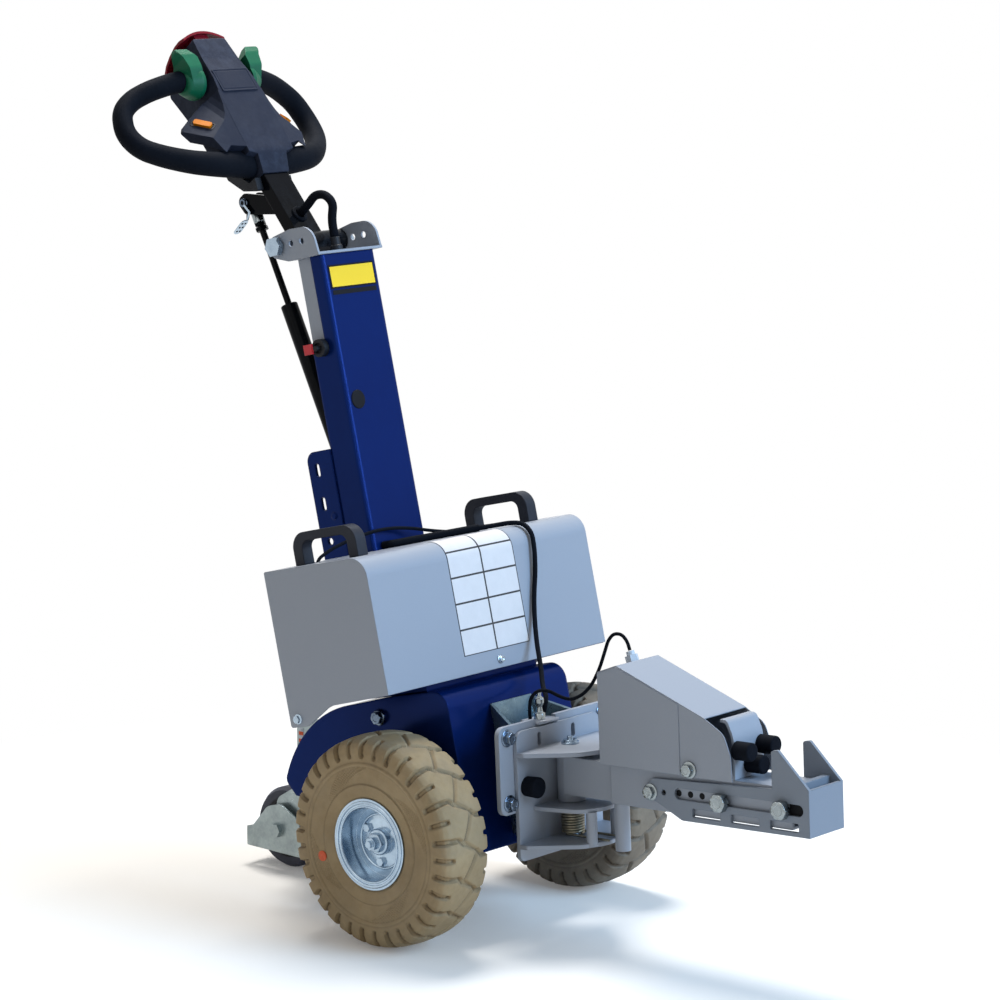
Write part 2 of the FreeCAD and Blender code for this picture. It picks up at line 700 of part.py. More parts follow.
def grip_section(point, along, height, depth):
    """Oval across the grip's bar, height measured up the pole."""
    along = along.normalize()
    up = Vector(0.3, 0, 1)
    major = (up - along * up.dot(along)).normalize()
    minor = along.cross(major)
    return Part.Wire([Part.Ellipse(point + major * height, point + minor * depth, point).toShape()])


def grip_loop():
    """Bar of one grip loop on the -Y side, round from the head's top to its neck, where it grows taller."""
    # s up the pole from the head's foot, y outwards, fall behind the head's face
    points = [(182, 36, 18), (182, 92, 29), (179, 130, 42), (173, 158, 54), (158, 181, 62), (124, 192, 67), (92, 184, 62),
              (66, 159, 49), (44, 128, 35), (31, 98, 25), (27, 62, 24), (27, 30, 26)]
    route = [Vector(head_face - fall, -y, head_base + s) for s, y, fall in points]
    edges = tangent_path(route, 0.48)[0]
    turn = edges[13]
    halfway = (turn.FirstParameter + turn.LastParameter) / 2
    bar = Part.BRepOffsetAPI.MakePipeShell(Part.Wire(edges))
    bar.setFrenetMode(False)
    bar.add(grip_section(route[0], route[1] - route[0], grip_radius + 0.2, grip_radius))
    bar.add(grip_section(turn.valueAt(halfway), turn.tangentAt(halfway), grip_radius + 0.2, grip_radius))
    bar.add(grip_section(route[-1], route[-1] - route[-2], grip_neck_radius, grip_radius))
    bar.build()
    bar.makeSolid()
    return bar.shape()


def throttle():
    """Flared hub round the grip by the head, with a thumb paddle that leans outwards to a hooked tip."""
    spot = Vector(head_face - 22, 0, head_base + 176)
    hub = turned_about_y([(0, -50), (26, -50), (26, -56, 3), (17.5, -76, 8), (0, -76)], spot)
    blade = side_plate([(spot.x - 22, spot.z + 10), (spot.x + 2, spot.z + 25, 16), (spot.x + 16, spot.z + 38, 5), (spot.x + 20, spot.z + 44, 3),
                        (spot.x + 28, spot.z + 43, 3), (spot.x + 31, spot.z + 31, 8), (spot.x + 29, spot.z + 8, 16), (spot.x + 12, spot.z - 18)],
                       -100, -50)
    lean = upright_plate([(-50, spot.z - 24), (-70, spot.z - 16, 6), (-76, spot.z + 10, 14), (-79, spot.z + 26, 12), (-86, spot.z + 38, 4),
                          (-83, spot.z + 48, 4), (-62, spot.z + 43, 10), (-50, spot.z + 26)], spot.x - 60, spot.x + 60)
    return hub.fuse(blade.common(lean))


head = tiller_head()
loop = grip_loop()
add("right_grip", loop.cut(head), tiller)
add("left_grip", mirrored(loop.cut(head)), tiller)
right_throttle = throttle().cut(loop).cut(head)
add("tiller_head", head, tiller)
add("throttles", both_sides(right_throttle), tiller)

# red safety cap over the head's top end, orange horn buttons, black cover behind the neck
cap_wall = 4.0
cap_half_width = 43.0
# the cap's outer line at its sides, from the front edge over the top and down the back, and its extra rise amid
cap_line = [(head_face - 4, head_top + 5.5, 11), (head_face - 15, head_top + 8, 11), (head_face - 27, head_top + 7.5, 9.5),
            (head_face - 45, head_top + 3, 7.5), (head_face - 61, head_top - 3.5, 6), (head_face - 71, head_top - 11, 5),
            (head_face - 79, head_top - 22, 4.5), (head_face - 84, head_top - 31, 4)]


def cap_section(y):
    """Closed line of the cap's band at one y, its wall measured square to the line."""
    rise = 1 - (y / cap_half_width) ** 2
    outer = []
    inner = []
    for k, (x, z, middle_rise) in enumerate(cap_line):
        ahead = cap_line[min(k + 1, len(cap_line) - 1)]
        behind = cap_line[max(k - 1, 0)]
        along = Vector(ahead[0] - behind[0], 0, ahead[1] - behind[1]).normalize()
        outward = Vector(along.z, 0, -along.x)
        spot = Vector(x, y, z) + outward * (middle_rise * rise)
        outer.append(spot)
        inner.append(spot - outward * cap_wall)
    return Part.makePolygon(outer + inner[::-1] + outer[:1])


def safety_cap():
    """Arched band over the head's top and down its back, on a rib that joins it to the head."""
    band = Part.makeLoft([cap_section(cap_half_width * k / 3) for k in (-3, -2, -1, 0, 1, 2, 3)], True, False)
    rib = side_plate([(head_face - 8, head_top - 6), (head_face - 8, head_top + 17), (head_face - 30, head_top + 14),
                      (head_face - 45, head_top + 8), (head_face - 66, head_top - 2), (head_face - 82, head_top - 24),
                      (head_face - 40, head_top - 40)], -14, 14)
    return band.fuse(rib)


add("reverse_button", safety_cap().cut(head).removeSplitter(), tiller)

# the rocker of each horn button sits in the sloping top of a wing
horn_length = 29.0
horn_width = 10.0
horn_spot = Vector(wing_corner.x - 9.3, -85.5, head_base + 97.5)
rocker = level_plate([(-horn_length / 2, -horn_width / 2, 3), (-horn_length / 2, horn_width / 2, 3), (horn_length / 2, horn_width / 2, 3),
                      (horn_length / 2, -horn_width / 2, 3)], -4, 4.5)
rocker.Placement = Placement(horn_spot, Rotation(Vector(0.598, 0.368, -0.712), Vector(), wing_slope, "ZXY"))
add("horn_buttons", both_sides(rocker.cut(head)), tiller)

rear_cover = side_plate([(-pole_half_depth - 22, head_base + 60), (-pole_half_depth - 32, head_base + 60, 5),
                         (-pole_half_depth - 36, head_base + 30, 6), (-pole_half_depth - 20, head_base - 2, 3), (-5, head_base - 20, 3),
                         (2, head_base - 0.3), (-pole_half_depth - 2, head_base - 0.3), (head_face - head_depth, head_base + 34)], -38, 38)
rear_cover = rear_cover.cut(block(-pole_half_depth - 0.3, 30, -pole_half_width - 0.3, pole_half_width + 0.3, 0, head_base + 80))
rear_cover = rear_cover.cut(head).cut(loop).cut(mirrored(loop))
add("head_rear_cover", rear_cover, tiller)

lever_y = -spring_arm_gap - spring_arm_wall - 5.3
stem = side_plate([(spring_arm_x - 8, spring_arm_z + 2, 4), (spring_arm_x + 4, spring_arm_z + 2, 4), (spring_arm_x + 1, spring_arm_z - 28),
                   (spring_arm_x - 8, spring_arm_z - 30)], lever_y - 3, lever_y)
pad = side_plate([(spring_arm_x - 52, spring_arm_z - 27, 1), (spring_arm_x - 50, spring_arm_z - 23, 1), (spring_arm_x + 1, spring_arm_z - 27),
                  (spring_arm_x - 1, spring_arm_z - 31)], lever_y - 16, lever_y)
add("release_lever", stem.fuse(pad).removeSplitter(), tiller)

# ---- gas spring ----
foot = body.multVec(Vector(spring_foot_x, 0, spring_foot_z))
eye = tiller.multVec(Vector(spring_arm_x, 0, spring_arm_z))
spring_line = eye - foot
spring_length = spring_line.Length
spring_lean = math.degrees(math.atan2(-spring_line.x, spring_line.z))
spring = leaning(foot.x, foot.z, spring_lean)

eye_half = spring_arm_gap - 1.0
lower_eye = rod(11, 2 * eye_half, (0, -eye_half, 0), (0, 1, 0))
cylinder = turned_about_z([(0, 8), (spring_body_radius - 4, 8), (spring_body_radius - 4, 22), (spring_body_radius, 26),
                           (spring_body_radius, spring_cylinder_length, 2), (0, spring_cylinder_length)], (0, 0, 0))
cylinder = cylinder.fuse(lower_eye)
cylinder = cylinder.cut(rod(5.05, 40, (0, -20, 0), (0, 1, 0)))
rod_bore = spring_rod_radius + spring_clearance
cylinder = cylinder.cut(rod(rod_bore, spring_cylinder_length, (0, 0, 60), (0, 0, 1)))
add("gas_cylinder", cylinder.removeSplitter(), spring)

piston_foot = spring_cylinder_length - 165
piston = rod(spring_rod_radius, spring_length - 30 - piston_foot, (0, 0, piston_foot), (0, 0, 1))
nut_low = hexagon(17, 6, (0, 0, spring_length - 46), (0, 0, 1))
nut_high = hexagon(15, 7, (0, 0, spring_length - 38), (0, 0, 1))
end_block = rod(6.5, 34, (0, 0, spring_length - 32), (0, 0, 1))
rod_eye = rod(spring_eye_radius, 2 * eye_half, (0, -eye_half, spring_length), (0, 1, 0))
rod_eye = rod_eye.cut(rod(6, 2 * eye_half + 2, (0, -eye_half - 1, spring_length), (0, 1, 0)))
end_block = end_block.cut(rod(6, 2 * eye_half + 2, (0, -eye_half - 1, spring_length), (0, 1, 0)))
add("gas_rod", piston.fuse(nut_low).fuse(nut_high).fuse(end_block).fuse(rod_eye).removeSplitter(), spring)

# ---- caster ----
swivel_x = caster_x + caster_trail
caster_frame = machine
plate_half = 40.0
caster_height = seat_height - 0.3 - plate_wall
bracket_rear = swivel_x + 0.5
bracket_top = caster_height + plate_wall


def caster_bracket():
    """Plate under the chassis' tail with two gussets up its rounded back, and the caster's own plate and race."""
    base = block(bracket_rear, seat_front - 12, -gusset_y - gusset_wall / 2, gusset_y + gusset_wall / 2, caster_height, bracket_top)
    tip = bracket_top + gusset_rise
    outline = [(bracket_rear, bracket_top - 1), (bracket_rear, tip - 20, 3), (bracket_rear + 43, tip, 12), (seat_rear + 50, tip - 2),
               (seat_rear + 50, bracket_top - 1)]
    gusset = side_plate(outline, -gusset_y - gusset_wall / 2, -gusset_y + gusset_wall / 2)
    chassis_wire = rounded_wire(chassis_side, lambda u, w: Vector(u, 0, w)).makeOffset2D(0.3)
    room = Part.Face(chassis_wire).extrude(Vector(0, 2 * chassis_half_width, 0))
    room.translate(Vector(0, -chassis_half_width, 0))
    room.Placement = machine.inverse().multiply(body).multiply(room.Placement)
    foot_plate = level_plate([(swivel_x - 34, -22, 6), (bracket_rear, -plate_half), (swivel_x + 60, -plate_half), (swivel_x + 60, plate_half),
                              (bracket_rear, plate_half), (swivel_x - 34, 22, 6)], caster_height - plate_wall, caster_height)
    kingpin = rod(9, 26, (swivel_x, 0, caster_height - 26), (0, 0, 1))
    race = rod(30, 12, (swivel_x, 0, caster_height - 12), (0, 0, 1))
    return base.fuse(both_sides(gusset)).cut(room).fuse(foot_plate).fuse(kingpin).fuse(race).removeSplitter()


add("caster_plate", caster_bracket(), machine)


def caster_fork():
    """Two bent legs under a round head, with the foot guard's side plates and rear bar."""
    inner = caster_width / 2 + 4
    head_top_z = caster_height - 12.3
    crown = rod(34, 8, (swivel_x, 0, head_top_z - 8), (0, 0, 1))
    leg = side_plate([(swivel_x + 26, head_top_z), (swivel_x - 30, head_top_z), (caster_x - 12, caster_radius + 46, 20),
                      (caster_x - 16, caster_radius - 14, 14), (caster_x + 16, caster_radius - 14, 14), (swivel_x + 26, head_top_z - 26, 10)],
                     -inner - 4, -inner)
    bridge = block(swivel_x - 30, swivel_x + 26, -inner - 4, inner + 4, head_top_z - 8, head_top_z)
    guard_y = inner + 4 + 8
    guard = side_plate([(caster_x - 66, 28, 2), (caster_x - 66, 58, 2), (caster_x - 52, 62, 10), (caster_x - 22, 96, 22),
                        (caster_x + 6, 104, 18), (caster_x + 44, 84, 20), (caster_x + 56, 27, 4)], -guard_y - 3, -guard_y)
    rear_bar = block(caster_x - 66, caster_x - 63, -guard_y - 3, guard_y + 3, 30, 56)
    axle = rod(6, 2 * guard_y + 10, (caster_x, -guard_y - 5, caster_radius), (0, 1, 0))
    axle = axle.fuse(hexagon(19, 8, (caster_x, -guard_y - 3, caster_radius), (0, -1, 0)))
    axle = axle.fuse(hexagon(19, 8, (caster_x, guard_y + 3, caster_radius), (0, 1, 0)))
    fork = crown.fuse(bridge).fuse(both_sides(leg)).fuse(both_sides(guard)).fuse(rear_bar).fuse(axle)
    fork = fork.cut(rod(9.05, 40, (swivel_x, 0, caster_height - 40), (0, 0, 1)))
    return fork.removeSplitter()


add("caster_fork", caster_fork(), machine)
half = caster_width / 2
caster_profile = [(46, -half), (caster_radius - 5, -half), (caster_radius, -half + 8), (caster_radius, half - 8),
                  (caster_radius - 5, half), (46, half)]
caster_faces = []
for k in range(caster_flats):
    caster_faces += ring_faces(caster_profile, 2 * math.pi * k / caster_flats, 2 * math.pi * (k + 1) / caster_flats)
caster_tyre = closed_solid(caster_faces)
caster_hub = turned_about_y([(6.05, -half - 3), (15, -half - 3), (17, -half + 5), (38, -half + 5), (40, -half), (45.7, -half),
                             (45.7, half), (40, half), (38, half - 5), (17, half - 5), (15, half + 3), (6.05, half + 3)], (0, 0, 0))
caster_station = Placement(Vector(axle_x + caster_x, 0, caster_radius), Rotation())
add("caster_tyre", caster_tyre, caster_station)
add("caster_hub", caster_hub, caster_station)

# ---- front bracket between the leaning chassis and the hitch ----
chassis_face_top = body.multVec(Vector(chassis_front, 0, 160))
hitch_origin = hitch.multVec(Vector(0, 0, 0))


def in_hitch(point):
    """A body frame point, told in the hitch frame."""
    return hitch.inverse().multVec(body.multVec(point))


upper = in_hitch(Vector(chassis_front + 0.3, 0, 158))
lower = in_hitch(Vector(chassis_front + 0.3, 0, -30))


def wedge_bracket():
    """Open topped box, narrow on the chassis' face and wider at the hitch's back plate."""
    near = wedge_rear_half_width
    far = wedge_front_half_width
    corners = [Vector(upper.x, -near, upper.z), Vector(-8.3, -far, mount_top - 2), Vector(-8.3, -far, mount_bottom + 30),
               Vector(lower.x, -near, lower.z)]
    thick = Vector(0, mount_wall, 0)
    cheek = None
    for k in (1, 2):
        sheet = [corners[0], corners[k], corners[k + 1], corners[0]]
        piece = Part.Face(Part.makePolygon(sheet)).extrude(thick)
        cheek = piece if cheek is None else cheek.fuse(piece)
    back = side_plate([(upper.x, upper.z), (upper.x + 4, upper.z + 0.5), (lower.x + 4, lower.z), (lower.x, lower.z)], -near, near)
    floor = level_plate([(lower.x + 1, -near), (-8.3, -far), (-8.3, far), (lower.x + 1, near)], mount_bottom + 30, mount_bottom + 34)
    return both_sides(cheek).fuse(back).fuse(floor).removeSplitter()


add("wedge_bracket", wedge_bracket(), hitch)
tab_top = 312.3
back_plate = upright_plate([(-back_plate_half_width, back_plate_bottom, 12), (-back_plate_half_width, back_plate_top, 12),
                            (back_plate_half_width, back_plate_top, 12), (back_plate_half_width, back_plate_bottom, 12)], -8, -0.3)
back_plate = back_plate.cut(block(-30, mount_wall, -42.3, 2.3, mount_top + 2, back_plate_top + 1))
add("hitch_back_plate", back_plate, hitch)


def hitch_frame():
    """Mounting plate with three sector plates that hold the swivel pin, and the two spring posts."""
    mount = upright_plate([(-mount_half_width, mount_bottom, 10), (-mount_half_width, mount_top, 14), (mount_half_width, mount_top, 14),
                           (mount_half_width, mount_bottom, 10)], 0, mount_wall)
    for y in (-42, 32):
        slot = upright_plate([(y - 4, 279, 3.9), (y - 4, 299, 3.9), (y + 4, 299, 3.9), (y + 4, 279, 3.9)], -1, mount_wall + 1)
        mount = mount.cut(slot)
    frame = mount
    for height in sector_heights:
        reach = mount_half_width if height != sector_heights[1] else 60.0
        plate = level_plate([(mount_wall - 1, -reach), (mount_wall + 12, -reach, 6), (pin_x + sector_radius * 0.72, -sector_radius * 0.62, 30),
                             (pin_x + sector_radius, 0, 60), (pin_x + sector_radius * 0.72, sector_radius * 0.62, 30), (mount_wall + 12, reach, 6),
                             (mount_wall - 1, reach)], height, height + mount_wall)
        frame = frame.fuse(plate)
    for y in (-post_y, post_y):
        frame = frame.fuse(rod(8, sector_heights[1] - sector_heights[0], (post_x - 8, y, sector_heights[0] + 1), (0, 0, 1)))
    frame = frame.cut(rod(10, 200, (pin_x, 0, 100), (0, 0, 1)))
    return frame.removeSplitter()


add("hitch_frame", hitch_frame(), hitch)
pin = rod(9.9, sector_heights[2] - sector_heights[0] + 2 * mount_wall + 6, (pin_x, 0, sector_heights[0] - 6), (0, 0, 1))
pin = pin.fuse(rod(13, 3, (pin_x, 0, sector_heights[2] + mount_wall), (0, 0, 1)))
pin = pin.fuse(rod(14, 4, (pin_x, 0, sector_heights[0] - 8), (0, 0, 1)))
pin = pin.fuse(rod(4, 9, (pin_x, 0, sector_heights[2] + mount_wall + 2), (0, 0, 1)))
add("swivel_pin", pin.removeSplitter(), hitch)


def centring_spring():
    """Close wound torsion spring round the pin, its turns as beads on one sleeve, with two legs."""
    low = sector_heights[0] + mount_wall + 1
    turns = int((sector_heights[1] - 1 - low) / coil_pitch)
    profile = [(coil_radius - coil_wire, low)]
    for k in range(turns):
        foot = low + coil_pitch * k
        profile += [(coil_radius, foot), (coil_radius + coil_wire, foot + 0.25 * coil_pitch, 0.8),
                    (coil_radius + coil_wire, foot + 0.75 * coil_pitch, 0.8)]
    profile += [(coil_radius, low + coil_pitch * turns), (coil_radius - coil_wire, low + coil_pitch * turns)]
    sleeve = turned_about_z(profile, (pin_x, 0, 0))
    for side in (-1, 1):
        sleeve = sleeve.fuse(rod(coil_wire, 76, (pin_x, side * (coil_radius - 1), low + coil_pitch / 2), (1, 0, 0)))
    return sleeve.removeSplitter()


add("centring_spring", centring_spring(), hitch)

bumper = turned_about_y([(0, 0), (14, 0), (12.5, 9, 6), (15, 22, 3), (0, 22)], (0, 0, 0))
bumper.Placement = Placement(Vector(mount_wall, -72, 226), Rotation(Vector(0, 0, 1), -90))
add("hitch_bumpers", both_sides(bumper), hitch)

# ball stud on a tab over the mounting plate, where the leads are tied
tab = block(-28, mount_wall, -42, 2, mount_top + 2.3, tab_top)
stud = turned_about_z([(0, 0), (8, 0), (8, 9), (5, 11), (4, 18), (7, 24, 3), (7, 30, 3), (3, 34), (4, 40, 2), (0, 42)], (-11, -20, tab_top - 1))
add("lead_clamp", tab.fuse(stud).removeSplitter(), hitch)

# ---- hitch arm ----


def hitch_arm():
    """Square tube with a narrower neck welded to the pivot bush, and the post the spring acts on."""
    top = arm_bottom + arm_height
    tube = block(arm_start, arm_end, -arm_half_width, arm_half_width, arm_bottom, top)
    tube = tube.cut(block(arm_start - 1, arm_end + 1, -arm_half_width + arm_wall, arm_half_width - arm_wall,
                          arm_bottom + arm_wall, top - arm_wall))
    neck = block(neck_start, arm_start + 20, -neck_half_width, neck_half_width, arm_bottom + 1, top - 1)
    neck = neck.cut(block(neck_start + 24, arm_start + 21, -neck_half_width + arm_wall, neck_half_width - arm_wall,
                          arm_bottom + 1 + arm_wall, top - 1 - arm_wall))
    bush_low = sector_heights[1] + mount_wall + 0.5
    bush_high = sector_heights[2] - 0.5
    bush = rod(20, bush_high - bush_low, (pin_x, 0, bush_low), (0, 0, 1))
    post = rod(hanger_radius, arm_bottom - hanger_bottom + 1, (hanger_x, 0, hanger_bottom), (0, 0, 1))
    arm = tube.fuse(neck).fuse(bush).fuse(post)
    arm = arm.cut(rod(9.95, 200, (pin_x, 0, bush_low - 10), (0, 0, 1)))
    return arm.removeSplitter()


add("hitch_arm", hitch_arm(), hitch)

# ---- hook ----
hook_side = [(184, 235, 10), (206, 254, 8), (411, 262), (411, 314, 4), (422, 316, 4), (hook_front, 266), (hook_front, 201, 3),
             (256, 200, 8)]
slot_low = 244.0
slot_high = 462.0
slot_z = 237.0
slot_half = 8.0
hook_windows = (274.0, 340.0, 406.0)
window_length = 48.0


def hook():
    """Folded hook: two side plates with ears, and a front plate across them."""
    side = side_plate(hook_side, -hook_half_width, -hook_half_width + hook_wall)
    y0 = -hook_half_width - 1
    y1 = -hook_half_width + hook_wall + 1
    side = side.cut(side_plate([(slot_low, slot_z - slot_half, slot_half - 0.01), (slot_low, slot_z + slot_half, slot_half - 0.01),
                                (slot_high, slot_z + slot_half, slot_half - 0.01), (slot_high, slot_z - slot_half, slot_half - 0.01)], y0, y1))
    for x in hook_windows:
        side = side.cut(side_plate([(x, 207, 2), (x, 219, 2), (x + window_length, 219, 2), (x + window_length, 207, 2)], y0, y1))
    side = side.cut(rod(4, 10, (225, y0, 236), (0, 1, 0)))
    front = block(hook_front - hook_wall, hook_front, -hook_half_width, hook_half_width, 201, 266)
    cross = block(444, 454, -hook_half_width + hook_wall - 0.5, hook_half_width - hook_wall + 0.5, 222, 272)
    return both_sides(side).fuse(front).fuse(cross).removeSplitter()


add("hook", hook(), hitch)

bolts = []
for x, z, flats in ((202, 234, 16), (325, 234, 24), (428, 236, 24)):
    shank = rod(flats / 4, 2 * hook_half_width, (x, -hook_half_width, z), (0, 1, 0))
    one = hexagon(flats, flats * 0.5, (x, -hook_half_width - 0.3, z), (0, -1, 0)).fuse(hexagon(flats, flats * 0.5, (x, hook_half_width + 0.3, z), (0, 1, 0)))
    bolts.append(one)
add("hook_bolts", Part.makeCompound([b for b in bolts]), hitch)

# ---- hitch cover ----
cover_half_width = 47.0
cover_wall = 1.5
gland_base_x = 131.0
gland_base_z = 400.1
gland_lean = Vector(-0.333, 0, 0.943)
cover_side = [(120, 265.3), (120, 396), (154, 408, 3), (304, 350, 3), (338, 330, 24), (349, 300, 30), (350, 265.3)]


def hitch_cover():
    outer = side_plate(cover_side, -cover_half_width, cover_half_width)
    t = cover_wall
    hollow = side_plate([(120 + t, 260), (120 + t, 396 - t), (154, 408 - t, 2), (304, 350 - t, 2), (360, 330), (360, 260)],
                        -cover_half_width + t, cover_half_width - t)
    mouth = side_plate([(306, 260), (306, 420), (360, 420), (360, 260)], -cover_half_width + t, cover_half_width - t)
    shell = outer.cut(hollow).cut(mouth)
    seat_base = arm_bottom + arm_height + 0.3
    for y in (-cover_half_width + t / 2, 22):
        shell = shell.fuse(block(122, 300, y, y + cover_half_width - t / 2 - 22, seat_base, seat_base + 3))
    gland_hole = rod(5.2, 20, (gland_base_x + 3, 20, gland_base_z - 9), gland_lean)
    return shell.cut(gland_hole).removeSplitter()


add("hitch_cover", hitch_cover(), hitch)
cover_gland = hexagon(17, 10, (gland_base_x, 20, gland_base_z), gland_lean)
cover_gland = cover_gland.fuse(rod(6, 7, (gland_base_x - 2.7, 20, gland_base_z + 8.6), gland_lean))
cover_gland = cover_gland.fuse(rod(5, 7, (gland_base_x + 2, 20, gland_base_z - 5.66), gland_lean))
add("cover_gland", cover_gland.removeSplitter(), hitch)

# ---- sliding clamp ----
clamp_base = arm_bottom + arm_height + 0.3
clamp_wall = 4.0
clamp_half_width = 33.0
clamp_face = 345.0
buffer_radius = 13.0
buffer_length = 26.7
clamp_outline = [(232, clamp_base), (clamp_face, clamp_base), (clamp_face, 322, 40), (334, 347, 8), (322, 347), (322, 343),
                 (331, 343, 6), (clamp_face - clamp_wall, 321, 36), (clamp_face - clamp_wall, clamp_base + clamp_wall),
                 (232, clamp_base + clamp_wall)]
slider = side_plate(clamp_outline, -clamp_half_width, clamp_half_width)
slider = slider.cut(block(230, clamp_face - 20, 20, 60, clamp_base - 1, clamp_base + 10))
slider = slider.cut(block(230, clamp_face - 20, -60, -20, clamp_base - 1, clamp_base + 10))
add("clamp_slider", slider, hitch)
buffers = []
for y, z in ((-27, 305.5), (27, 305.5), (0, 283.5)):
    buffer = turned_about_z([(0, 0), (buffer_radius, 0), (buffer_radius, buffer_length, 3), (0, buffer_length)], (0, 0, 0))
    buffer.Placement = Placement(Vector(clamp_face, y, z), Rotation(Vector(0, 1, 0), 90))
    buffers.append(buffer)
add("clamp_buffers", Part.makeCompound(buffers), hitch)

# ---- leads ----


def from_body(x, y, z):
    return tuple(body.multVec(Vector(x, y, z)))


def from_hitch(x, y, z):
    return tuple(hitch.multVec(Vector(x, y, z)))


def from_tiller(x, y, z):
    return tuple(tiller.multVec(Vector(x, y, z)))


# sheathed pair of leads out of the column's foot, lying on the box
sheath_lie = box_top + sheath_diameter / 2 + 0.3
sheath_points = [from_body(-72.6, -37, sheath_lie), from_body(-60, -35, sheath_lie), from_body(-47, -16, sheath_lie),
                 from_body(-30, 16, sheath_lie), from_body(-8, 47, sheath_lie), from_body(16, 75, sheath_lie)]
add("lead_sheath", cord(sheath_points, sheath_diameter, "lead sheath"), Placement())
# one lead goes on over the box's front and hangs down to the hitch
box_lead_points = [from_body(16.2, 75.2, sheath_lie), from_body(30, 91, sheath_lie - 1), from_body(50, 106, box_top + 5),
                   from_body(70, 113, box_top + 1), from_body(83, 113, box_top - 15), from_body(85, 110, box_top - 40),
                   from_body(84, 104, box_top - 72), from_body(83, 92, box_top - 108), from_body(85, 82, box_top - 144),
                   from_body(94, 68, box_top - 176), from_body(110, 50, box_top - 206), from_body(128, 26, box_top - 234),
                   from_hitch(-16, 3, tab_top + 26), from_hitch(-19, -3, tab_top + 1.2)]
add("box_lead", cord(box_lead_points, lead_diameter, "box lead"), Placement())
# thin lead out of the box's top, past the column's front to the sheath's end
side_lead_points = [from_body(side_lead_x, side_lead_y, box_top - 6), from_body(side_lead_x + 1, side_lead_y + 7, box_top + 5),
                    from_body(-80, -140, 414), from_body(-75, -112, 421), from_body(-68, -84, 426), from_body(-63, -54, 429),
                    from_body(-60, -24, 428), from_body(-56, 8, 423), from_body(-46, 38, 414), from_body(-29, 60, 407),
                    from_body(-6, 76, box_top + 4), from_body(18, 92, box_top + 3.5)]
add("side_lead", cord(side_lead_points, thin_lead_diameter, "side lead"), Placement())
hitch_lead_points = [from_hitch(-16, -35, tab_top + 0.3), from_hitch(-16.5, -35, 329), from_hitch(-14.5, -34, 344),
                     from_hitch(-5.5, -29, 355), from_hitch(8, -21, 355), from_hitch(20, -13, 346.5), from_hitch(35, -5, 341),
                     from_hitch(50, 3, 348), from_hitch(64, 8, 363), from_hitch(75, 13, 386), from_hitch(83, 16, 410),
                     from_hitch(89, 18, 428), from_hitch(98.5, 19, 438), from_hitch(112, 20, 438), from_hitch(121.5, 20, 429),
                     from_hitch(gland_base_x - 5.1, 20, gland_base_z + 16.3)]
add("hitch_lead", cord(hitch_lead_points, thin_lead_diameter, "hitch lead"), Placement())
conduit_points = [from_tiller(pole_half_depth + 0.3, 0, 46), from_tiller(33, 0, 46), from_tiller(54, 0, 49),
                  from_tiller(71, 0, 38), from_tiller(77, 0, 18), from_body(gland_x, 0, column_top + 50),
                  from_body(gland_x, 0, column_top + bracket_wall + 22.3)]
add("tiller_conduit", cord(conduit_points, conduit_diameter, "tiller conduit"), Placement())

os.makedirs("parts", exist_ok=True)
for name, shape in nodes.items():
    shape.exportStep("parts/" + name + ".step")
    box = shape.BoundBox
    print(f"{name:22s} solids {len(shape.Solids)} valid {shape.isValid()} volume {shape.Volume / 1000:9.1f} cm3",
          f"x {box.XMin:7.1f} {box.XMax:7.1f}  y {box.YMin:7.1f} {box.YMax:7.1f}  z {box.ZMin:7.1f} {box.ZMax:7.1f}")
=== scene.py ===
import math
import bmesh
import bpy
import numpy as np
from mathutils import Matrix, Vector


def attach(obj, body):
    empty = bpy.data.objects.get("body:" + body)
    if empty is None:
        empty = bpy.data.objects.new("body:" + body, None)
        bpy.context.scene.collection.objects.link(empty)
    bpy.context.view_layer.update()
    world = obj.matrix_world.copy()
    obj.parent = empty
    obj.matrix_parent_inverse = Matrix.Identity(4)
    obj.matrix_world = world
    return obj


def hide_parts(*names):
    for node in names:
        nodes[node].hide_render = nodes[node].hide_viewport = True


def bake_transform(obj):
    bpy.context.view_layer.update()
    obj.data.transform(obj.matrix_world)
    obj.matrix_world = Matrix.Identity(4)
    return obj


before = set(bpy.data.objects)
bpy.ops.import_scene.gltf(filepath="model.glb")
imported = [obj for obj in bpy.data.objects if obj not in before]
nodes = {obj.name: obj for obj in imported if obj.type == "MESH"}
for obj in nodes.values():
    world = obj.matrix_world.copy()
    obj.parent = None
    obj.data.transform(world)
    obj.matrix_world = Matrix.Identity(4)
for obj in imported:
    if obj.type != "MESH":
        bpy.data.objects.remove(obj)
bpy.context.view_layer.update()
print("frame loaded,", len(nodes), "nodes")

# the machine's leaning frames, in millimetres: x forward, y left, z up inside each
lean = {"axleX": 1.5, "axleZ": 152.5, "body": 13.56, "tiller": 39.5, "hitch": 3.0, "hitchX": 147.5, "pivotX": -147.0,
        "pivotZ": 863.0, "springFootX": -140.0, "springFootZ": 460.0, "springEyeX": -57.0, "springEyeZ": 117.0}


# a frame's matrix: turned back about Y by its pitch, moved to x and z, and scaled to metres
def leaning(x, z, pitch):
    turn = Matrix.Rotation(-math.radians(pitch), 4, "Y")
    return Matrix.Translation((x / 1000, 0, z / 1000)) @ turn @ Matrix.Scale(0.001, 4)


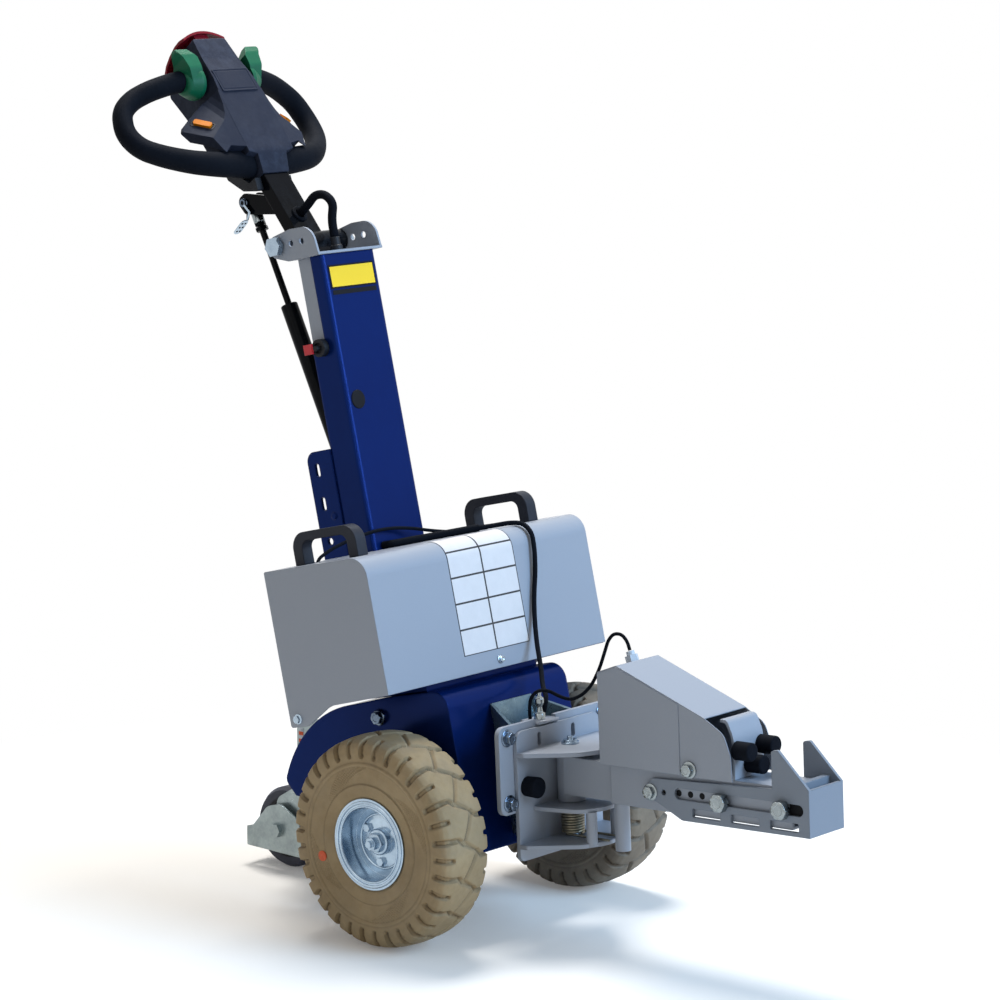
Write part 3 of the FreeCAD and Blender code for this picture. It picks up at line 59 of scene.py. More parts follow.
machine = leaning(lean["axleX"], 0, 0)
body = leaning(lean["axleX"], lean["axleZ"], lean["body"])
pivot = (body @ Vector((lean["pivotX"], 0, lean["pivotZ"]))) * 1000
tiller = leaning(pivot.x, pivot.z, lean["tiller"])
hitch = leaning(lean["hitchX"], 0, lean["hitch"])
springFoot = (body @ Vector((lean["springFootX"], 0, lean["springFootZ"]))) * 1000
springEye = (tiller @ Vector((lean["springEyeX"], 0, lean["springEyeZ"]))) * 1000
springLine = springEye - springFoot
spring = leaning(springFoot.x, springFoot.z, math.degrees(math.atan2(-springLine.x, springLine.z)))


# points told in a frame, turned, scaled and moved by that frame's matrix
def inRow(points, place):
    m = np.array(place)
    return np.asarray(points, float) @ m[:3, :3].T + m[:3, 3]


# data put in the scene as an object
def linked(name, data):
    item = bpy.data.objects.new(name, data)
    bpy.context.collection.objects.link(item)
    return item


# a mesh object from whole arrays: points, and a list of face arrays of three or four corners
def addPiece(name, points, faces, finish, rider, sharpAngle=35, uv=None):
    mesh = bpy.data.meshes.new(name)
    points = np.ascontiguousarray(points, dtype=np.float32).reshape(-1, 3)
    faces = [f for f in faces if len(f)]
    sizes = np.concatenate([np.full(len(f), f.shape[1]) for f in faces])
    corners = np.concatenate([f.ravel() for f in faces]).astype(np.int32)
    mesh.vertices.add(len(points))
    mesh.vertices.foreach_set("co", points.ravel())
    mesh.loops.add(len(corners))
    mesh.loops.foreach_set("vertex_index", corners)
    mesh.polygons.add(len(sizes))
    mesh.polygons.foreach_set("loop_start", np.concatenate([[0], np.cumsum(sizes)[:-1]]).astype(np.int32))
    mesh.polygons.foreach_set("use_smooth", np.ones(len(sizes), bool))
    if uv is not None:
        layer = mesh.uv_layers.new(name="faceMap")
        layer.data.foreach_set("uv", np.asarray(uv, np.float32)[corners].ravel())
    mesh.update(calc_edges=True)
    mesh.validate()
    mesh.set_sharp_from_angle(angle=math.radians(sharpAngle))
    mesh.materials.append(finishes[finish])
    piece = linked(name, mesh)
    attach(piece, rider)
    return piece


# quads of a rows x columns grid: each joins (i, j), (i, j+1), (i+1, j+1), (i+1, j), wrapped where closed
def gridFaces(rows, columns, closedRows=False, closedColumns=False, flip=False):
    i, j = np.meshgrid(np.arange(rows if closedRows else rows - 1),
                       np.arange(columns if closedColumns else columns - 1), indexing="ij")
    a = i * columns + j
    b = i * columns + (j + 1) % columns
    c = ((i + 1) % rows) * columns + (j + 1) % columns
    d = ((i + 1) % rows) * columns + j
    quads = np.stack([a, b, c, d], -1).reshape(-1, 4)
    return quads[:, ::-1] if flip else quads


# the turn that takes +Z to a direction, then a move to a spot
def standing(spot, axis):
    aim = Vector((0, 0, 1)).rotation_difference(Vector(axis)).to_matrix().to_4x4()
    return Matrix.Translation(spot) @ aim


# triangle fans over a skin's two ends: round the points tip and tip + 1, on the rows from 0 and from base
def endFans(count, base, tip):
    j = np.arange(count)
    after = (j + 1) % count
    first = np.stack([np.full(count, tip), after, j], -1)
    return [first, np.stack([np.full(count, tip + 1), base + j, base + after], -1)]


# rings stacked into one closed skin: row k is an outline of points (x, y) at height h, with a fan at both ends
def stacked(rings):
    segments = len(rings[0][0])
    points = np.vstack([np.column_stack([x, y, np.full(segments, float(h))]) for x, y, h in rings])
    faces = gridFaces(len(rings), segments, closedColumns=True)
    tip = len(points)
    points = np.vstack([points, [[np.mean(rings[0][0]), np.mean(rings[0][1]), rings[0][2]],
                                 [np.mean(rings[-1][0]), np.mean(rings[-1][1]), rings[-1][2]]]])
    return points, [faces] + endFans(segments, (len(rings) - 1) * segments, tip)


# revolved profile: the point (r, h) goes to (r cos t, r sin t, h) for t round the circle
def turned(profile, segments=40):
    t = np.linspace(0, 2 * np.pi, segments, endpoint=False)
    return stacked([(r * np.cos(t), r * np.sin(t), h) for r, h in profile])


# revolved closed profile, such as a washer or a ring: as turned, but its last row joins its first
def ring(profile, segments=48):
    t = np.linspace(0, 2 * np.pi, segments, endpoint=False)
    r, h = np.array(profile, float).T[:, :, None]
    points = np.stack([r * np.cos(t), r * np.sin(t), h + 0 * t], -1).reshape(-1, 3)
    return points, [gridFaces(len(profile), segments, closedRows=True, closedColumns=True)]


# rounded rectangle outline: a quarter circle of the corner radius at each corner of the box, shrunk by inset
def roundedOutline(halfX, halfY, corner, inset=0.0, steps=8):
    turn = np.linspace(0, np.pi / 2, steps)
    quarter = np.concatenate([turn + k * np.pi / 2 for k in range(4)])
    signX = np.repeat([1, -1, -1, 1], steps)
    signY = np.repeat([1, 1, -1, -1], steps)
    radius = max(corner - inset, 0.15)
    return (signX * (halfX - inset - radius) + radius * np.cos(quarter),
            signY * (halfY - inset - radius) + radius * np.sin(quarter))


# plate with a rounded outline: rows of (inset, height) stepped from its foot to its middle
def roundedPlate(halfX, halfY, corner, rows):
    return stacked([roundedOutline(halfX, halfY, corner, inset) + (height,) for inset, height in rows])


# frame with a rounded outline: the rows of (inset, height) close on themselves
def roundedFrame(halfX, halfY, corner, rows):
    outlines = [roundedOutline(halfX, halfY, corner, inset) for inset, height in rows]
    points = np.vstack([np.column_stack([x, y, np.full(len(x), float(height))])
                        for (x, y), (inset, height) in zip(outlines, rows)])
    return points, [gridFaces(len(rows), len(outlines[0][0]), closedRows=True, closedColumns=True)]


# thin sheet between two grids of the same shape, joined round their borders
def slab(outer, inner):
    rows, columns = outer.shape[:2]
    count = rows * columns
    border = np.concatenate([np.arange(columns), np.arange(1, rows) * columns + columns - 1,
                             (rows - 1) * columns + np.arange(columns - 2, -1, -1),
                             np.arange(rows - 2, 0, -1) * columns])
    after = np.roll(border, -1)
    rim = np.stack([border, border + count, after + count, after], -1)
    points = np.concatenate([outer.reshape(-1, 3), inner.reshape(-1, 3)])
    return points, [gridFaces(rows, columns), gridFaces(rows, columns, flip=True) + count, rim]


# outline of (x, z) points carried from low to high along y
def plate(outline, low, high):
    flat = np.asarray(outline, float)
    count = len(flat)
    both = np.concatenate([np.column_stack([flat, np.full(count, low)]),
                           np.column_stack([flat, np.full(count, high)])])
    j = np.arange(count)
    sides = np.stack([j, (j + 1) % count, (j + 1) % count + count, j + count], -1)
    middles = np.array([[flat[:, 0].mean(), flat[:, 1].mean(), low], [flat[:, 0].mean(), flat[:, 1].mean(), high]])
    return np.concatenate([both, middles])[:, [0, 2, 1]], [sides] + endFans(count, count, 2 * count)


# several (points, faces) parts in one mesh
def joined(parts):
    allPoints, allFaces, start = [], [], 0
    for points, faces in parts:
        allPoints.append(points)
        allFaces += [f + start for f in faces]
        start += len(points)
    return np.vstack(allPoints), allFaces


# a part moved by a matrix
def moved(part, matrix):
    return inRow(part[0], matrix), part[1]


# a part with its faces turned round
def faced(part):
    return part[0], [f[:, ::-1] for f in part[1]]


# a part on the other side: y turned over, with its faces turned back outwards
def mirrored(part):
    return faced((part[0] * (1, -1, 1), part[1]))


# a part put into the row frame as a piece
def placePiece(name, parts, place, finish, rider, sharpAngle=35):
    points, faces = joined(parts)
    return addPiece(name, inRow(points, place), faces, finish, rider, sharpAngle)


# hexagon bolt head: radius f / cos((t mod 60) - 30) at the flats, less at the top's cone, on a round flange
def hexHead(acrossFlats, height, flange=0.0, dimple=0.0):
    t = np.linspace(0, 2 * np.pi, 48, endpoint=False)
    flat = acrossFlats / 2
    hexRadius = flat / np.cos((t % (np.pi / 3)) - np.pi / 6)
    rows = [(flange, 0.0), (flange, 1.0), (flange - 0.6, 1.5), (flat * 1.06, 1.9)] if flange > 0 else []
    base = 1.9 if flange > 0 else 0.0
    rows += [(hexRadius, base), (hexRadius, base + (height - base) * 0.80),
             (np.minimum(hexRadius, flat * 1.07), base + (height - base) * 0.93), (flat * 0.95, height),
             (flat * 0.6, height), (flat * 0.55, height - dimple)]
    return stacked([(radius * np.cos(t), radius * np.sin(t), h) for radius, h in rows])


# round bar along a path: rings of radius r square to each tangent, carried along by parallel transport
def tubeAlong(path, radius, sides=12):
    path = np.asarray(path, float)
    tangent = np.gradient(path, axis=0)
    tangent /= np.linalg.norm(tangent, axis=1)[:, None]
    across = np.zeros_like(path)
    seed = np.array([0, 0, 1.0]) if abs(tangent[0, 2]) < 0.9 else np.array([1.0, 0, 0])
    across[0] = np.cross(tangent[0], seed)
    across[0] /= np.linalg.norm(across[0])
    for k in range(1, len(path)):
        across[k] = across[k - 1] - tangent[k] * np.dot(across[k - 1], tangent[k])
        across[k] /= np.linalg.norm(across[k])
    other = np.cross(tangent, across)
    t = np.linspace(0, 2 * np.pi, sides, endpoint=False)
    r = np.broadcast_to(np.asarray(radius, float), (len(path),))[:, None, None]
    rings = path[:, None, :] + r * (across[:, None, :] * np.cos(t)[None, :, None] + other[:, None,
                                                                                          :] * np.sin(t)[None, :,
                                                                                                         None])
    faces = gridFaces(len(path), sides, closedColumns=True)
    points = np.vstack([rings.reshape(-1, 3), path[:1], path[-1:]])
    return points, [faces] + endFans(sides, (len(path) - 1) * sides, len(points) - 2)


# shader helpers: a group with named sockets, a node with its values, sums, ranges and noise on Object coordinates
def newGroup(name, inputs, outputs):
    group = bpy.data.node_groups.new(name, "ShaderNodeTree")
    for label, default in inputs:
        socket = group.interface.new_socket(label, in_out="INPUT", socket_type="NodeSocketFloat")
        socket.default_value = default
    for label in outputs:
        group.interface.new_socket(label, in_out="OUTPUT", socket_type="NodeSocketFloat")
    return group, group.nodes.new("NodeGroupInput"), group.nodes.new("NodeGroupOutput")


# a socket linked to another one, or given a value
def setSocket(tree, socket, value):
    if isinstance(value, bpy.types.NodeSocket):
        tree.links.new(value, socket)
    else:
        socket.default_value = value


# a node whose settings and sockets take the values by name
def addNode(tree, kind, **values):
    node = tree.nodes.new(kind)
    for key, value in values.items():
        if hasattr(node, key):
            setattr(node, key, value)
        else:
            setSocket(tree, node.inputs[key.replace("_", " ")], value)
    return node


# one sum on two values or sockets
def mathNode(tree, operation, a, b=None, clamp=False):
    node = addNode(tree, "ShaderNodeMath", operation=operation, use_clamp=clamp)
    setSocket(tree, node.inputs[0], a)
    if b is not None:
        setSocket(tree, node.inputs[1], b)
    return node.outputs[0]


# a value's range from low to high laid over the range from outLow to outHigh
def spread(tree, value, low, high, outLow=0.0, outHigh=1.0):
    node = addNode(tree, "ShaderNodeMapRange", Value=value, From_Min=low, From_Max=high, To_Min=outLow,
                   To_Max=outHigh)
    return node.outputs["Result"]


# noise on Object coordinates, at a fixed or linked scale
def noise(tree, scale, detail=3.0, roughness=0.55):
    place = addNode(tree, "ShaderNodeTexCoord").outputs["Object"]
    node = addNode(tree, "ShaderNodeTexNoise", Scale=scale, Detail=detail, Roughness=roughness, Vector=place)
    return node.outputs["Fac"]


# cloudy variation: slow noise with a finer one on it, spread about the middle by Contrast
def mottleGroup():
    group, source, sink = newGroup("mottle", [("Scale", 12.0), ("Contrast", 1.0)], ["Fac"])
    slow = noise(group, source.outputs["Scale"], 4.0)
    fine = noise(group, mathNode(group, "MULTIPLY", source.outputs["Scale"], 7.3), 3.0)
    both = mathNode(group, "ADD", mathNode(group, "MULTIPLY", slow, 0.7), mathNode(group, "MULTIPLY", fine, 0.3))
    about = mathNode(group, "MULTIPLY", mathNode(group, "SUBTRACT", both, 0.5),
                     mathNode(group, "MULTIPLY", source.outputs["Contrast"], 3.0))
    group.links.new(mathNode(group, "ADD", about, 0.5, clamp=True), sink.inputs["Fac"])
    return group


# a group whose mask is a pattern times Amount: patternOf gives the pattern's socket from the group, its geometry
# node and its inputs
def maskGroup(name, inputs, patternOf):
    group, source, sink = newGroup(name, inputs, ["Mask"])
    pattern = patternOf(group, addNode(group, "ShaderNodeNewGeometry"), source)
    mask = mathNode(group, "MULTIPLY", pattern, source.outputs["Amount"], clamp=True)
    group.links.new(mask, sink.inputs["Mask"])
    return group


# rubbed edges: pointiness above flat, broken up by noise
def edgePattern(group, geometry, source):
    edge = spread(group, geometry.outputs["Pointiness"], 0.52, 0.62)
    patch = spread(group, noise(group, source.outputs["Patch Scale"], 5.0, 0.7), 0.42, 0.62)
    return mathNode(group, "MULTIPLY", edge, patch)


# painted shade in hollows: darker where pointiness is below flat
def hollowShadePattern(group, geometry, source):
    return spread(group, geometry.outputs["Pointiness"], 0.497, 0.44)


# dust on faces that look up and in patches: the normal's height times noise
def dustPattern(group, geometry, source):
    split = addNode(group, "ShaderNodeSeparateXYZ", Vector=geometry.outputs["Normal"])
    up = spread(group, split.outputs["Z"], -0.6, 1.0, 0.15, 1.0)
    patch = spread(group, noise(group, source.outputs["Scale"], 6.0, 0.65), 0.38, 0.72)
    return mathNode(group, "MULTIPLY", up, patch)


# surface height: fine noise for orange peel or moulded grain, with pits from cells mixed in by Pitted
def grainGroup():
    group, source, sink = newGroup("grain", [("Scale", 600.0), ("Pitted", 0.0)], ["Height"])
    fine = noise(group, source.outputs["Scale"], 2.0)
    place = addNode(group, "ShaderNodeTexCoord").outputs["Object"]
    cells = addNode(group, "ShaderNodeTexVoronoi", Vector=place, Scale=source.outputs["Scale"])
    pits = mathNode(group, "MULTIPLY", cells.outputs["Distance"], source.outputs["Pitted"])
    group.links.new(mathNode(group, "ADD", fine, pits), sink.inputs["Height"])
    return group


groups = {"mottle": mottleGroup(),
          "edgeWear": maskGroup("edgeWear", [("Amount", 0.5), ("Patch Scale", 60.0)], edgePattern),
          "dust": maskGroup("dust", [("Amount", 0.2), ("Scale", 25.0)], dustPattern), "grain": grainGroup(),
          "hollowShade": maskGroup("hollowShade", [("Amount", 0.5)], hollowShadePattern)}


# a named group with its sockets set
def placeGroup(tree, name, **values):
    node = tree.nodes.new("ShaderNodeGroup")
    node.node_tree = groups[name]
    for key, value in values.items():
        node.inputs[key.replace("_", " ")].default_value = value
    return node


# sRGB 0 to 255 to linear: c / 12.92 when dark, else ((c + 0.055) / 1.055) to the power 2.4
def toLinear(colour):
    c = np.asarray(colour, float) / 255
    return tuple(np.where(c <= 0.04045, c / 12.92, ((c + 0.055) / 1.055) ** 2.4)) + (1.0,)


# two colours mixed by a factor
def mixColour(tree, factor, a, b):
    node = addNode(tree, "ShaderNodeMix", data_type="RGBA")
    for index, value in ((0, factor), (6, a), (7, b)):
        setSocket(tree, node.inputs[index], value)
    return node.outputs[2]


# a new material with its node tree and its shader
def newMaterial(name):
    material = bpy.data.materials.new(name)
    material.use_nodes = True
    return material, material.node_tree, material.node_tree.nodes["Principled BSDF"]


finishes = {}


# a finish: tint and shade are the colours the mottle runs between, wear shows on rubbed edges, dust settles on top;
# mottle is scale and contrast, grain is scale and depth, wear is amount, tint and scale, dust is amount and tint;
# softEdge is the radius in millimetres over which the shading rounds a folded or moulded edge; hollowShade darkens
# hollows towards hollowShadeTint as painted shade
def makeFinish(name, tint, shade, rough, roughSpread=0.05, metallic=0.0, mottle=(10.0, 0.8), grain=(600.0, 0.05),
               pitted=0.0, wear=(0.0, (150, 150, 150), 60.0), dust=(0.0, (150, 146, 138)), specular=0.5,
               softEdge=0.0, hollowShade=0.0, hollowShadeTint=(46, 38, 28)):
    material, tree, shader = newMaterial(name)
    shader.inputs["Metallic"].default_value = metallic
    shader.inputs["Specular IOR Level"].default_value = specular
    cloud = placeGroup(tree, "mottle", Scale=mottle[0], Contrast=mottle[1]).outputs["Fac"]
    colour = mixColour(tree, cloud, toLinear(shade), toLinear(tint))
    roughness = spread(tree, cloud, 0.0, 1.0, rough + roughSpread, rough - roughSpread)
    if wear[0] > 0:
        mask = placeGroup(tree, "edgeWear", Amount=wear[0], Patch_Scale=wear[2]).outputs["Mask"]
        colour = mixColour(tree, mask, colour, toLinear(wear[1]))
    # painted shade: the colour darkens towards hollowShadeTint where the surface is hollow
    if hollowShade > 0:
        mask = placeGroup(tree, "hollowShade", Amount=hollowShade).outputs["Mask"]
        colour = mixColour(tree, mask, colour, toLinear(hollowShadeTint))
    if dust[0] > 0:
        mask = placeGroup(tree, "dust", Amount=dust[0], Scale=22.0).outputs["Mask"]
        colour = mixColour(tree, mask, colour, toLinear(dust[1]))
        roughness = mathNode(tree, "ADD", roughness, mathNode(tree, "MULTIPLY", mask, 0.3))
    tree.links.new(colour, shader.inputs["Base Color"])
    tree.links.new(roughness, shader.inputs["Roughness"])
    fine = placeGroup(tree, "grain", Scale=grain[0], Pitted=pitted).outputs["Height"]
    bump = addNode(tree, "ShaderNodeBump", Strength=grain[1], Distance=0.001, Height=fine)
    if softEdge > 0:
        rounded = addNode(tree, "ShaderNodeBevel", samples=4, Radius=softEdge / 1000)
        tree.links.new(rounded.outputs["Normal"], bump.inputs["Normal"])
    tree.links.new(bump.outputs["Normal"], shader.inputs["Normal"])
    finishes[name] = material


makeFinish("bluePaint", (8, 36, 95), (6, 29, 83), 0.22, 0.03, metallic=0.3, mottle=(5, 0.5), grain=(420, 0.04),
           specular=0.06, softEdge=4.0)
powder = dict(metallic=0.08, mottle=(1800, 0.8), grain=(1100, 0.05), specular=0.22, softEdge=2.0)
makeFinish("silverPaint", (152, 157, 166), (144, 149, 158), 0.38, 0.02, **powder)
# the silver paint painted darker for the hook: painted shade
makeFinish("hookSilverPaintedShade", (128, 135, 145), (121, 128, 138), 0.38, 0.02, **powder)
makeFinish("zinc", (186, 202, 215), (148, 166, 183), 0.18, 0.05, metallic=1.0, mottle=(18, 0.8), grain=(420, 0.03),
           dust=(0.02, (150, 148, 134)), softEdge=1.2)
coating = dict(metallic=0.75, mottle=(34, 1.1), grain=(420, 0.06), softEdge=0.8)
makeFinish("galvanised", (160, 172, 174), (136, 148, 150), 0.34, 0.08, dust=(0.05, (146, 142, 126)),
           **coating)
machined = dict(metallic=1.0, mottle=(60, 0.8), grain=(500, 0.04), softEdge=0.5)
makeFinish("brightSteel", (160, 167, 168), (124, 132, 135), 0.24, 0.06, **machined)
makeFinish("wedgeZinc", (120, 142, 152), (92, 112, 124), 0.30, 0.06, **coating)
makeFinish("boltZinc", (120, 134, 150), (84, 98, 116), 0.22, 0.05, **machined)
makeFinish("springWire", (172, 166, 146), (120, 114, 98), 0.32, 0.06, metallic=0.9, mottle=(60, 0.8),
           grain=(500, 0.05))
rubber = dict(mottle=(14, 1.1), grain=(300, 0.25), specular=0.3)
# the tyres' hollows are darkened with painted shade
makeFinish("tyreTan", (160, 138, 103), (141, 120, 88), 0.70, 0.08, wear=(0.5, (110, 98, 80), 40),
           dust=(0.42, (124, 118, 108)), hollowShade=0.55, **rubber)
# the tan painted darker and greyer for the far tyre: painted shade
makeFinish("tyreTanPaintedShade", (126, 114, 98), (108, 97, 84), 0.70, 0.08, wear=(0.5, (96, 90, 82), 40),
           dust=(0.40, (120, 114, 106)), hollowShade=0.7, **rubber)
makeFinish("casterRubber", (24, 32, 56), (18, 24, 42), 0.55, 0.08, mottle=(20, 0.8), grain=(320, 0.2),
           dust=(0.20, (90, 92, 98)), softEdge=0.8)
makeFinish("slatePlastic", (29, 35, 50), (26, 31, 45), 0.60, 0.03, mottle=(12, 0.5), grain=(1300, 0.25),
           wear=(0.15, (78, 86, 104), 60.0), dust=(0.03, (150, 146, 138)), specular=0.1, pitted=0.6, softEdge=1.6)
makeFinish("blackPlastic", (21, 24, 31), (16, 18, 24), 0.50, 0.05, mottle=(18, 0.8), grain=(900, 0.2),
           wear=(0.2, (62, 64, 70), 60.0), dust=(0.05, (150, 146, 138)), specular=0.2, pitted=0.5, softEdge=0.8)
makeFinish("blackRubber", (17, 20, 27), (12, 15, 21), 0.70, 0.05, mottle=(22, 0.8), grain=(800, 0.2), specular=0.04,
           softEdge=0.8)
makeFinish("greenPlastic", (8, 92, 62), (6, 80, 53), 0.42, 0.04, mottle=(16, 0.6), grain=(1000, 0.15),
           wear=(0.15, (30, 120, 88), 60.0), pitted=0.4, specular=0.2, softEdge=1.2)
makeFinish("orangePlastic", (208, 118, 2), (194, 106, 0), 0.42, 0.04, grain=(900, 0.1), specular=0.1, softEdge=0.8)
makeFinish("redPlastic", (124, 10, 28), (104, 8, 22), 0.38, 0.04, grain=(900, 0.1), specular=0.2, softEdge=1.0)
makeFinish("keyRed", (206, 26, 40), (182, 18, 30), 0.36, 0.04, grain=(900, 0.1), softEdge=0.8)
makeFinish("blackPaint", (9, 11, 16), (6, 8, 12), 0.12, 0.02, mottle=(18, 0.8), grain=(600, 0.01),
           wear=(0.2, (70, 74, 80), 60.0), specular=0.06, softEdge=3.0)
makeFinish("handlePlastic", (33, 37, 47), (28, 32, 41), 0.50, 0.04, grain=(1000, 0.2), dust=(0.02, (150, 146, 138)),
           pitted=0.4, specular=0.2, softEdge=3.0)
makeFinish("glandPlastic", (196, 202, 208), (182, 188, 195), 0.42, 0.05, grain=(900, 0.1), softEdge=0.6)
makeFinish("batteryCase", (44, 46, 50), (34, 36, 40), 0.6, 0.05, grain=(800, 0.3), dust=(0.2, (150, 146, 138)))
# near-black finish for painted shade in holes and behind slots
makeFinish("holeShade", (16, 17, 20), (10, 11, 13), 0.8, 0.05, grain=(600, 0.05), specular=0.2)
makeFinish("badgeYellow", (250, 206, 20), (242, 196, 12), 0.34, 0.04, mottle=(20, 0.4), grain=(600.0, 0.03))
makeFinish("markOrange", (214, 92, 50), (196, 78, 40), 0.6, 0.05, mottle=(220, 1.2), grain=(600.0, 0.1))
makeFinish("trimBlack", (16, 18, 24), (11, 12, 17), 0.5, 0.04, grain=(600.0, 0.03), specular=0.1)
print("finishes made,", len(finishes))

dressedNodes = {
    "bluePaint": ["chassis_shell", "column_cover", "spring_flanges", "battery_tray"],
    "silverPaint": ["cover_box", "column_bracket", "hitch_cover", "column_core", "hitch_frame", "hitch_back_plate",
                    "clamp_slider", "hitch_arm"],
    "hookSilverPaintedShade": ["hook"],
    "wedgeZinc": ["wedge_bracket"],
    "galvanised": ["caster_plate", "caster_fork"],
    "zinc": ["right_rim", "left_rim", "drive_axle", "tiller_pivot_bolt", "swivel_pin", "lead_clamp", "release_lever"],
    "springWire": ["centring_spring"],
    "tyreTan": ["right_tyre", "left_tyre"],
    "casterRubber": ["caster_tyre"],
    "slatePlastic": ["tiller_head"],
    "blackPlastic": ["caster_hub", "head_rear_cover", "key_switch", "conduit_gland"],
    "glandPlastic": ["cover_gland"],
    "blackRubber": ["right_grip", "left_grip", "hitch_bumpers", "clamp_buffers", "lead_sheath", "box_lead",
                    "side_lead", "hitch_lead", "tiller_conduit"],
    "brightSteel": ["hook_bolts"],
    "greenPlastic": ["throttles"],
    "orangePlastic": ["horn_buttons"],
    "redPlastic": ["reverse_button"],
    "keyRed": ["key"],
    "blackPaint": ["tiller_pole", "gas_cylinder", "gas_rod"],
    "handlePlastic": ["right_lift_handle", "left_lift_handle"],
    "batteryCase": ["battery_block"],
}
for finish, names in dressedNodes.items():
    for name in names:
        data = nodes[name].data
        data.materials.clear()
        data.materials.append(finishes[finish])
print("nodes without a finish:", sorted(set(nodes) - {n for names in dressedNodes.values() for n in names}))


tyre = {"radius": 0.1525, "centreY": 0.205, "repeats": 17, "around": 612, "treadColumns": 76, "wallColumns": 39,
        "longSlot": (62.0, 21.0), "shortSlot": (62.0, 34.0), "hook": (8.0, 13.0), "slotDepth": 6.0,
        "middleDepth": 3.4, "hookDepth": 4.6, "shortDepth": 0.8, "halfWidth": (2.1, 1.7, 24, 22), "deepen": (18, 14),
        "shortWidth": 0.85, "hookHalfWidth": 1.7, "middleHalfWidth": 0.9, "slotBevel": 1.9, "bevel": 2.0,
        "treadRun": 0.073, "runOut": (0.1195, 0.007),
        "zigzagShare": 0.4}


# distance in millimetres from (arc, across) points to a straight groove line; arc wraps round at each repeat
def grooveDistance(arc, across, start, end, repeat):
    middle = (start[0] + end[0]) / 2
    near = (arc - middle + repeat / 2) % repeat - repeat / 2 + middle
    run = np.array(end, float) - start
    share = np.clip(((near - start[0]) * run[0] + (across - start[1]) * run[1]) / (run @ run), 0, 1)
    return np.hypot(near - start[0] - share * run[0], across - start[1] - share * run[1])


# how far a groove sinks: all of its depth inside its half width, rising to none over its bevel as a smoothstep
def sunkBy(distance, halfWidth, bevel):
    share = 1 - np.clip((distance - halfWidth) / bevel, 0, 1)
    return share * share * (3 - 2 * share)


# tread and walls: a profile of radius and offset runs over the tyre from bead to bead, and each repeat round it
# has on both sides a long slot with a hooked end, a short slot half a repeat on, and one zigzag groove that joins
# the hooks
def tyreSurface(side):
    wall = np.array([(0.0626, -0.0415), (0.0668, -0.0424), (0.0680, -0.0440), (0.0780, -0.0457), (0.0848, -0.0464),
                     (0.0856, -0.0452), (0.0866, -0.0449), (0.0950, -0.0458), (0.1060, -0.0464), (0.1116, -0.0466),
                     (0.1128, -0.0478), (0.1142, -0.0481), (0.1158, -0.0480), (0.1170, -0.0468), (0.1230, -0.0474),
                     (0.1300, -0.0474), (0.1380, -0.0460), (0.1440, -0.0432), (0.1482, -0.0372), (0.1505, -0.0280),
                     (0.1517, -0.0170), (0.1525, 0.0)])
    outline = np.vstack([wall, (wall * (1, -1))[-2::-1]])
    run = np.concatenate([[0], np.cumsum(np.linalg.norm(np.diff(outline, axis=0), axis=1))])
    middleRun = run[-1] / 2
    tread = tyre["treadRun"]
    s = np.concatenate([np.linspace(0, middleRun - tread, tyre["wallColumns"], endpoint=False),
                        np.linspace(middleRun - tread, middleRun + tread, tyre["treadColumns"]),
                        np.linspace(middleRun + tread, run[-1], tyre["wallColumns"] + 1)[1:]])
    r, y = np.interp(s, run, outline[:, 0]), np.interp(s, run, outline[:, 1])
    repeat = 2 * np.pi * tyre["radius"] * 1000 / tyre["repeats"]
    t = np.linspace(0, 2 * np.pi, tyre["around"], endpoint=False)
    arc = t[:, None] * tyre["radius"] * 1000 + 0 * s[None, :]
    across = 0 * arc + (s[None, :] - middleRun) * 1000
    hookArc, hookAcross = tyre["hook"]
    outer, inner = tyre["longSlot"]
    narrow, wider, widerFrom, widerOver = tyre["halfWidth"]
    deeperFrom, deeperOver = tyre["deepen"]
    sunk = np.zeros_like(arc)
    for way, start in ((1, 0.0), (-1, repeat / 2)):
        width = narrow + wider * np.clip((np.abs(across) - widerFrom) / widerOver, 0, 1)
        deep = tyre["slotDepth"] * (0.5 + 0.5 * np.clip((np.abs(across) - deeperFrom) / deeperOver, 0, 1))
        longSlot = grooveDistance(arc, across, (start, way * outer), (start, way * inner), repeat)
        joint = (start + way * hookArc, way * hookAcross)
        hook = grooveDistance(arc, across, (start, way * inner), joint, repeat)
        outerShort, innerShort = tyre["shortSlot"]
        shortSlot = grooveDistance(arc, across, (start + repeat / 2, way * outerShort),
                                   (start + repeat / 2, way * innerShort), repeat)
        zigzagEnd = (start + repeat / 2 - way * hookArc * tyre["zigzagShare"], -way * hookAcross)
        zigzag = grooveDistance(arc, across, joint, zigzagEnd, repeat)
        back = grooveDistance(arc, across, joint, (start - repeat / 2 - way * hookArc, -way * hookAcross), repeat)
        middle = sunkBy(np.minimum(zigzag, back), tyre["middleHalfWidth"], tyre["bevel"])
        sunk = np.maximum.reduce([
            sunk, deep * sunkBy(longSlot, width, tyre["slotBevel"]),
            tyre["shortDepth"] * deep * sunkBy(shortSlot, width * tyre["shortWidth"], tyre["slotBevel"]),
            tyre["hookDepth"] * sunkBy(hook, tyre["hookHalfWidth"], tyre["bevel"]), tyre["middleDepth"] * middle])
    # the slots run out above the wall's ring
    sunk *= np.clip((r - tyre["runOut"][0]) / tyre["runOut"][1], 0, 1)[None, :]
    tangent = np.gradient(np.stack([r, y], -1), axis=0)
    tangent /= np.linalg.norm(tangent, axis=1)[:, None]
    normalR, normalY = tangent[:, 1], -tangent[:, 0]
    out = wallRibs(t[:, None], r[None, :] * 1000) - sunk
    radius = np.minimum(r[None, :] + out * normalR / 1000, tyre["radius"])
    width = y[None, :] + out * normalY / 1000
    return np.stack([radius * np.cos(t)[:, None], side * tyre["centreY"] - side * width, radius * np.sin(t)[:, None]],
                    -1)


wallRib = {"height": 1.6, "from": 88, "to": 111, "edge": 3, "sweep": 0.024, "fan": 0.30, "fanEdge": 0.02, "count": 68,
           "steep": (2.2, 1.2)}


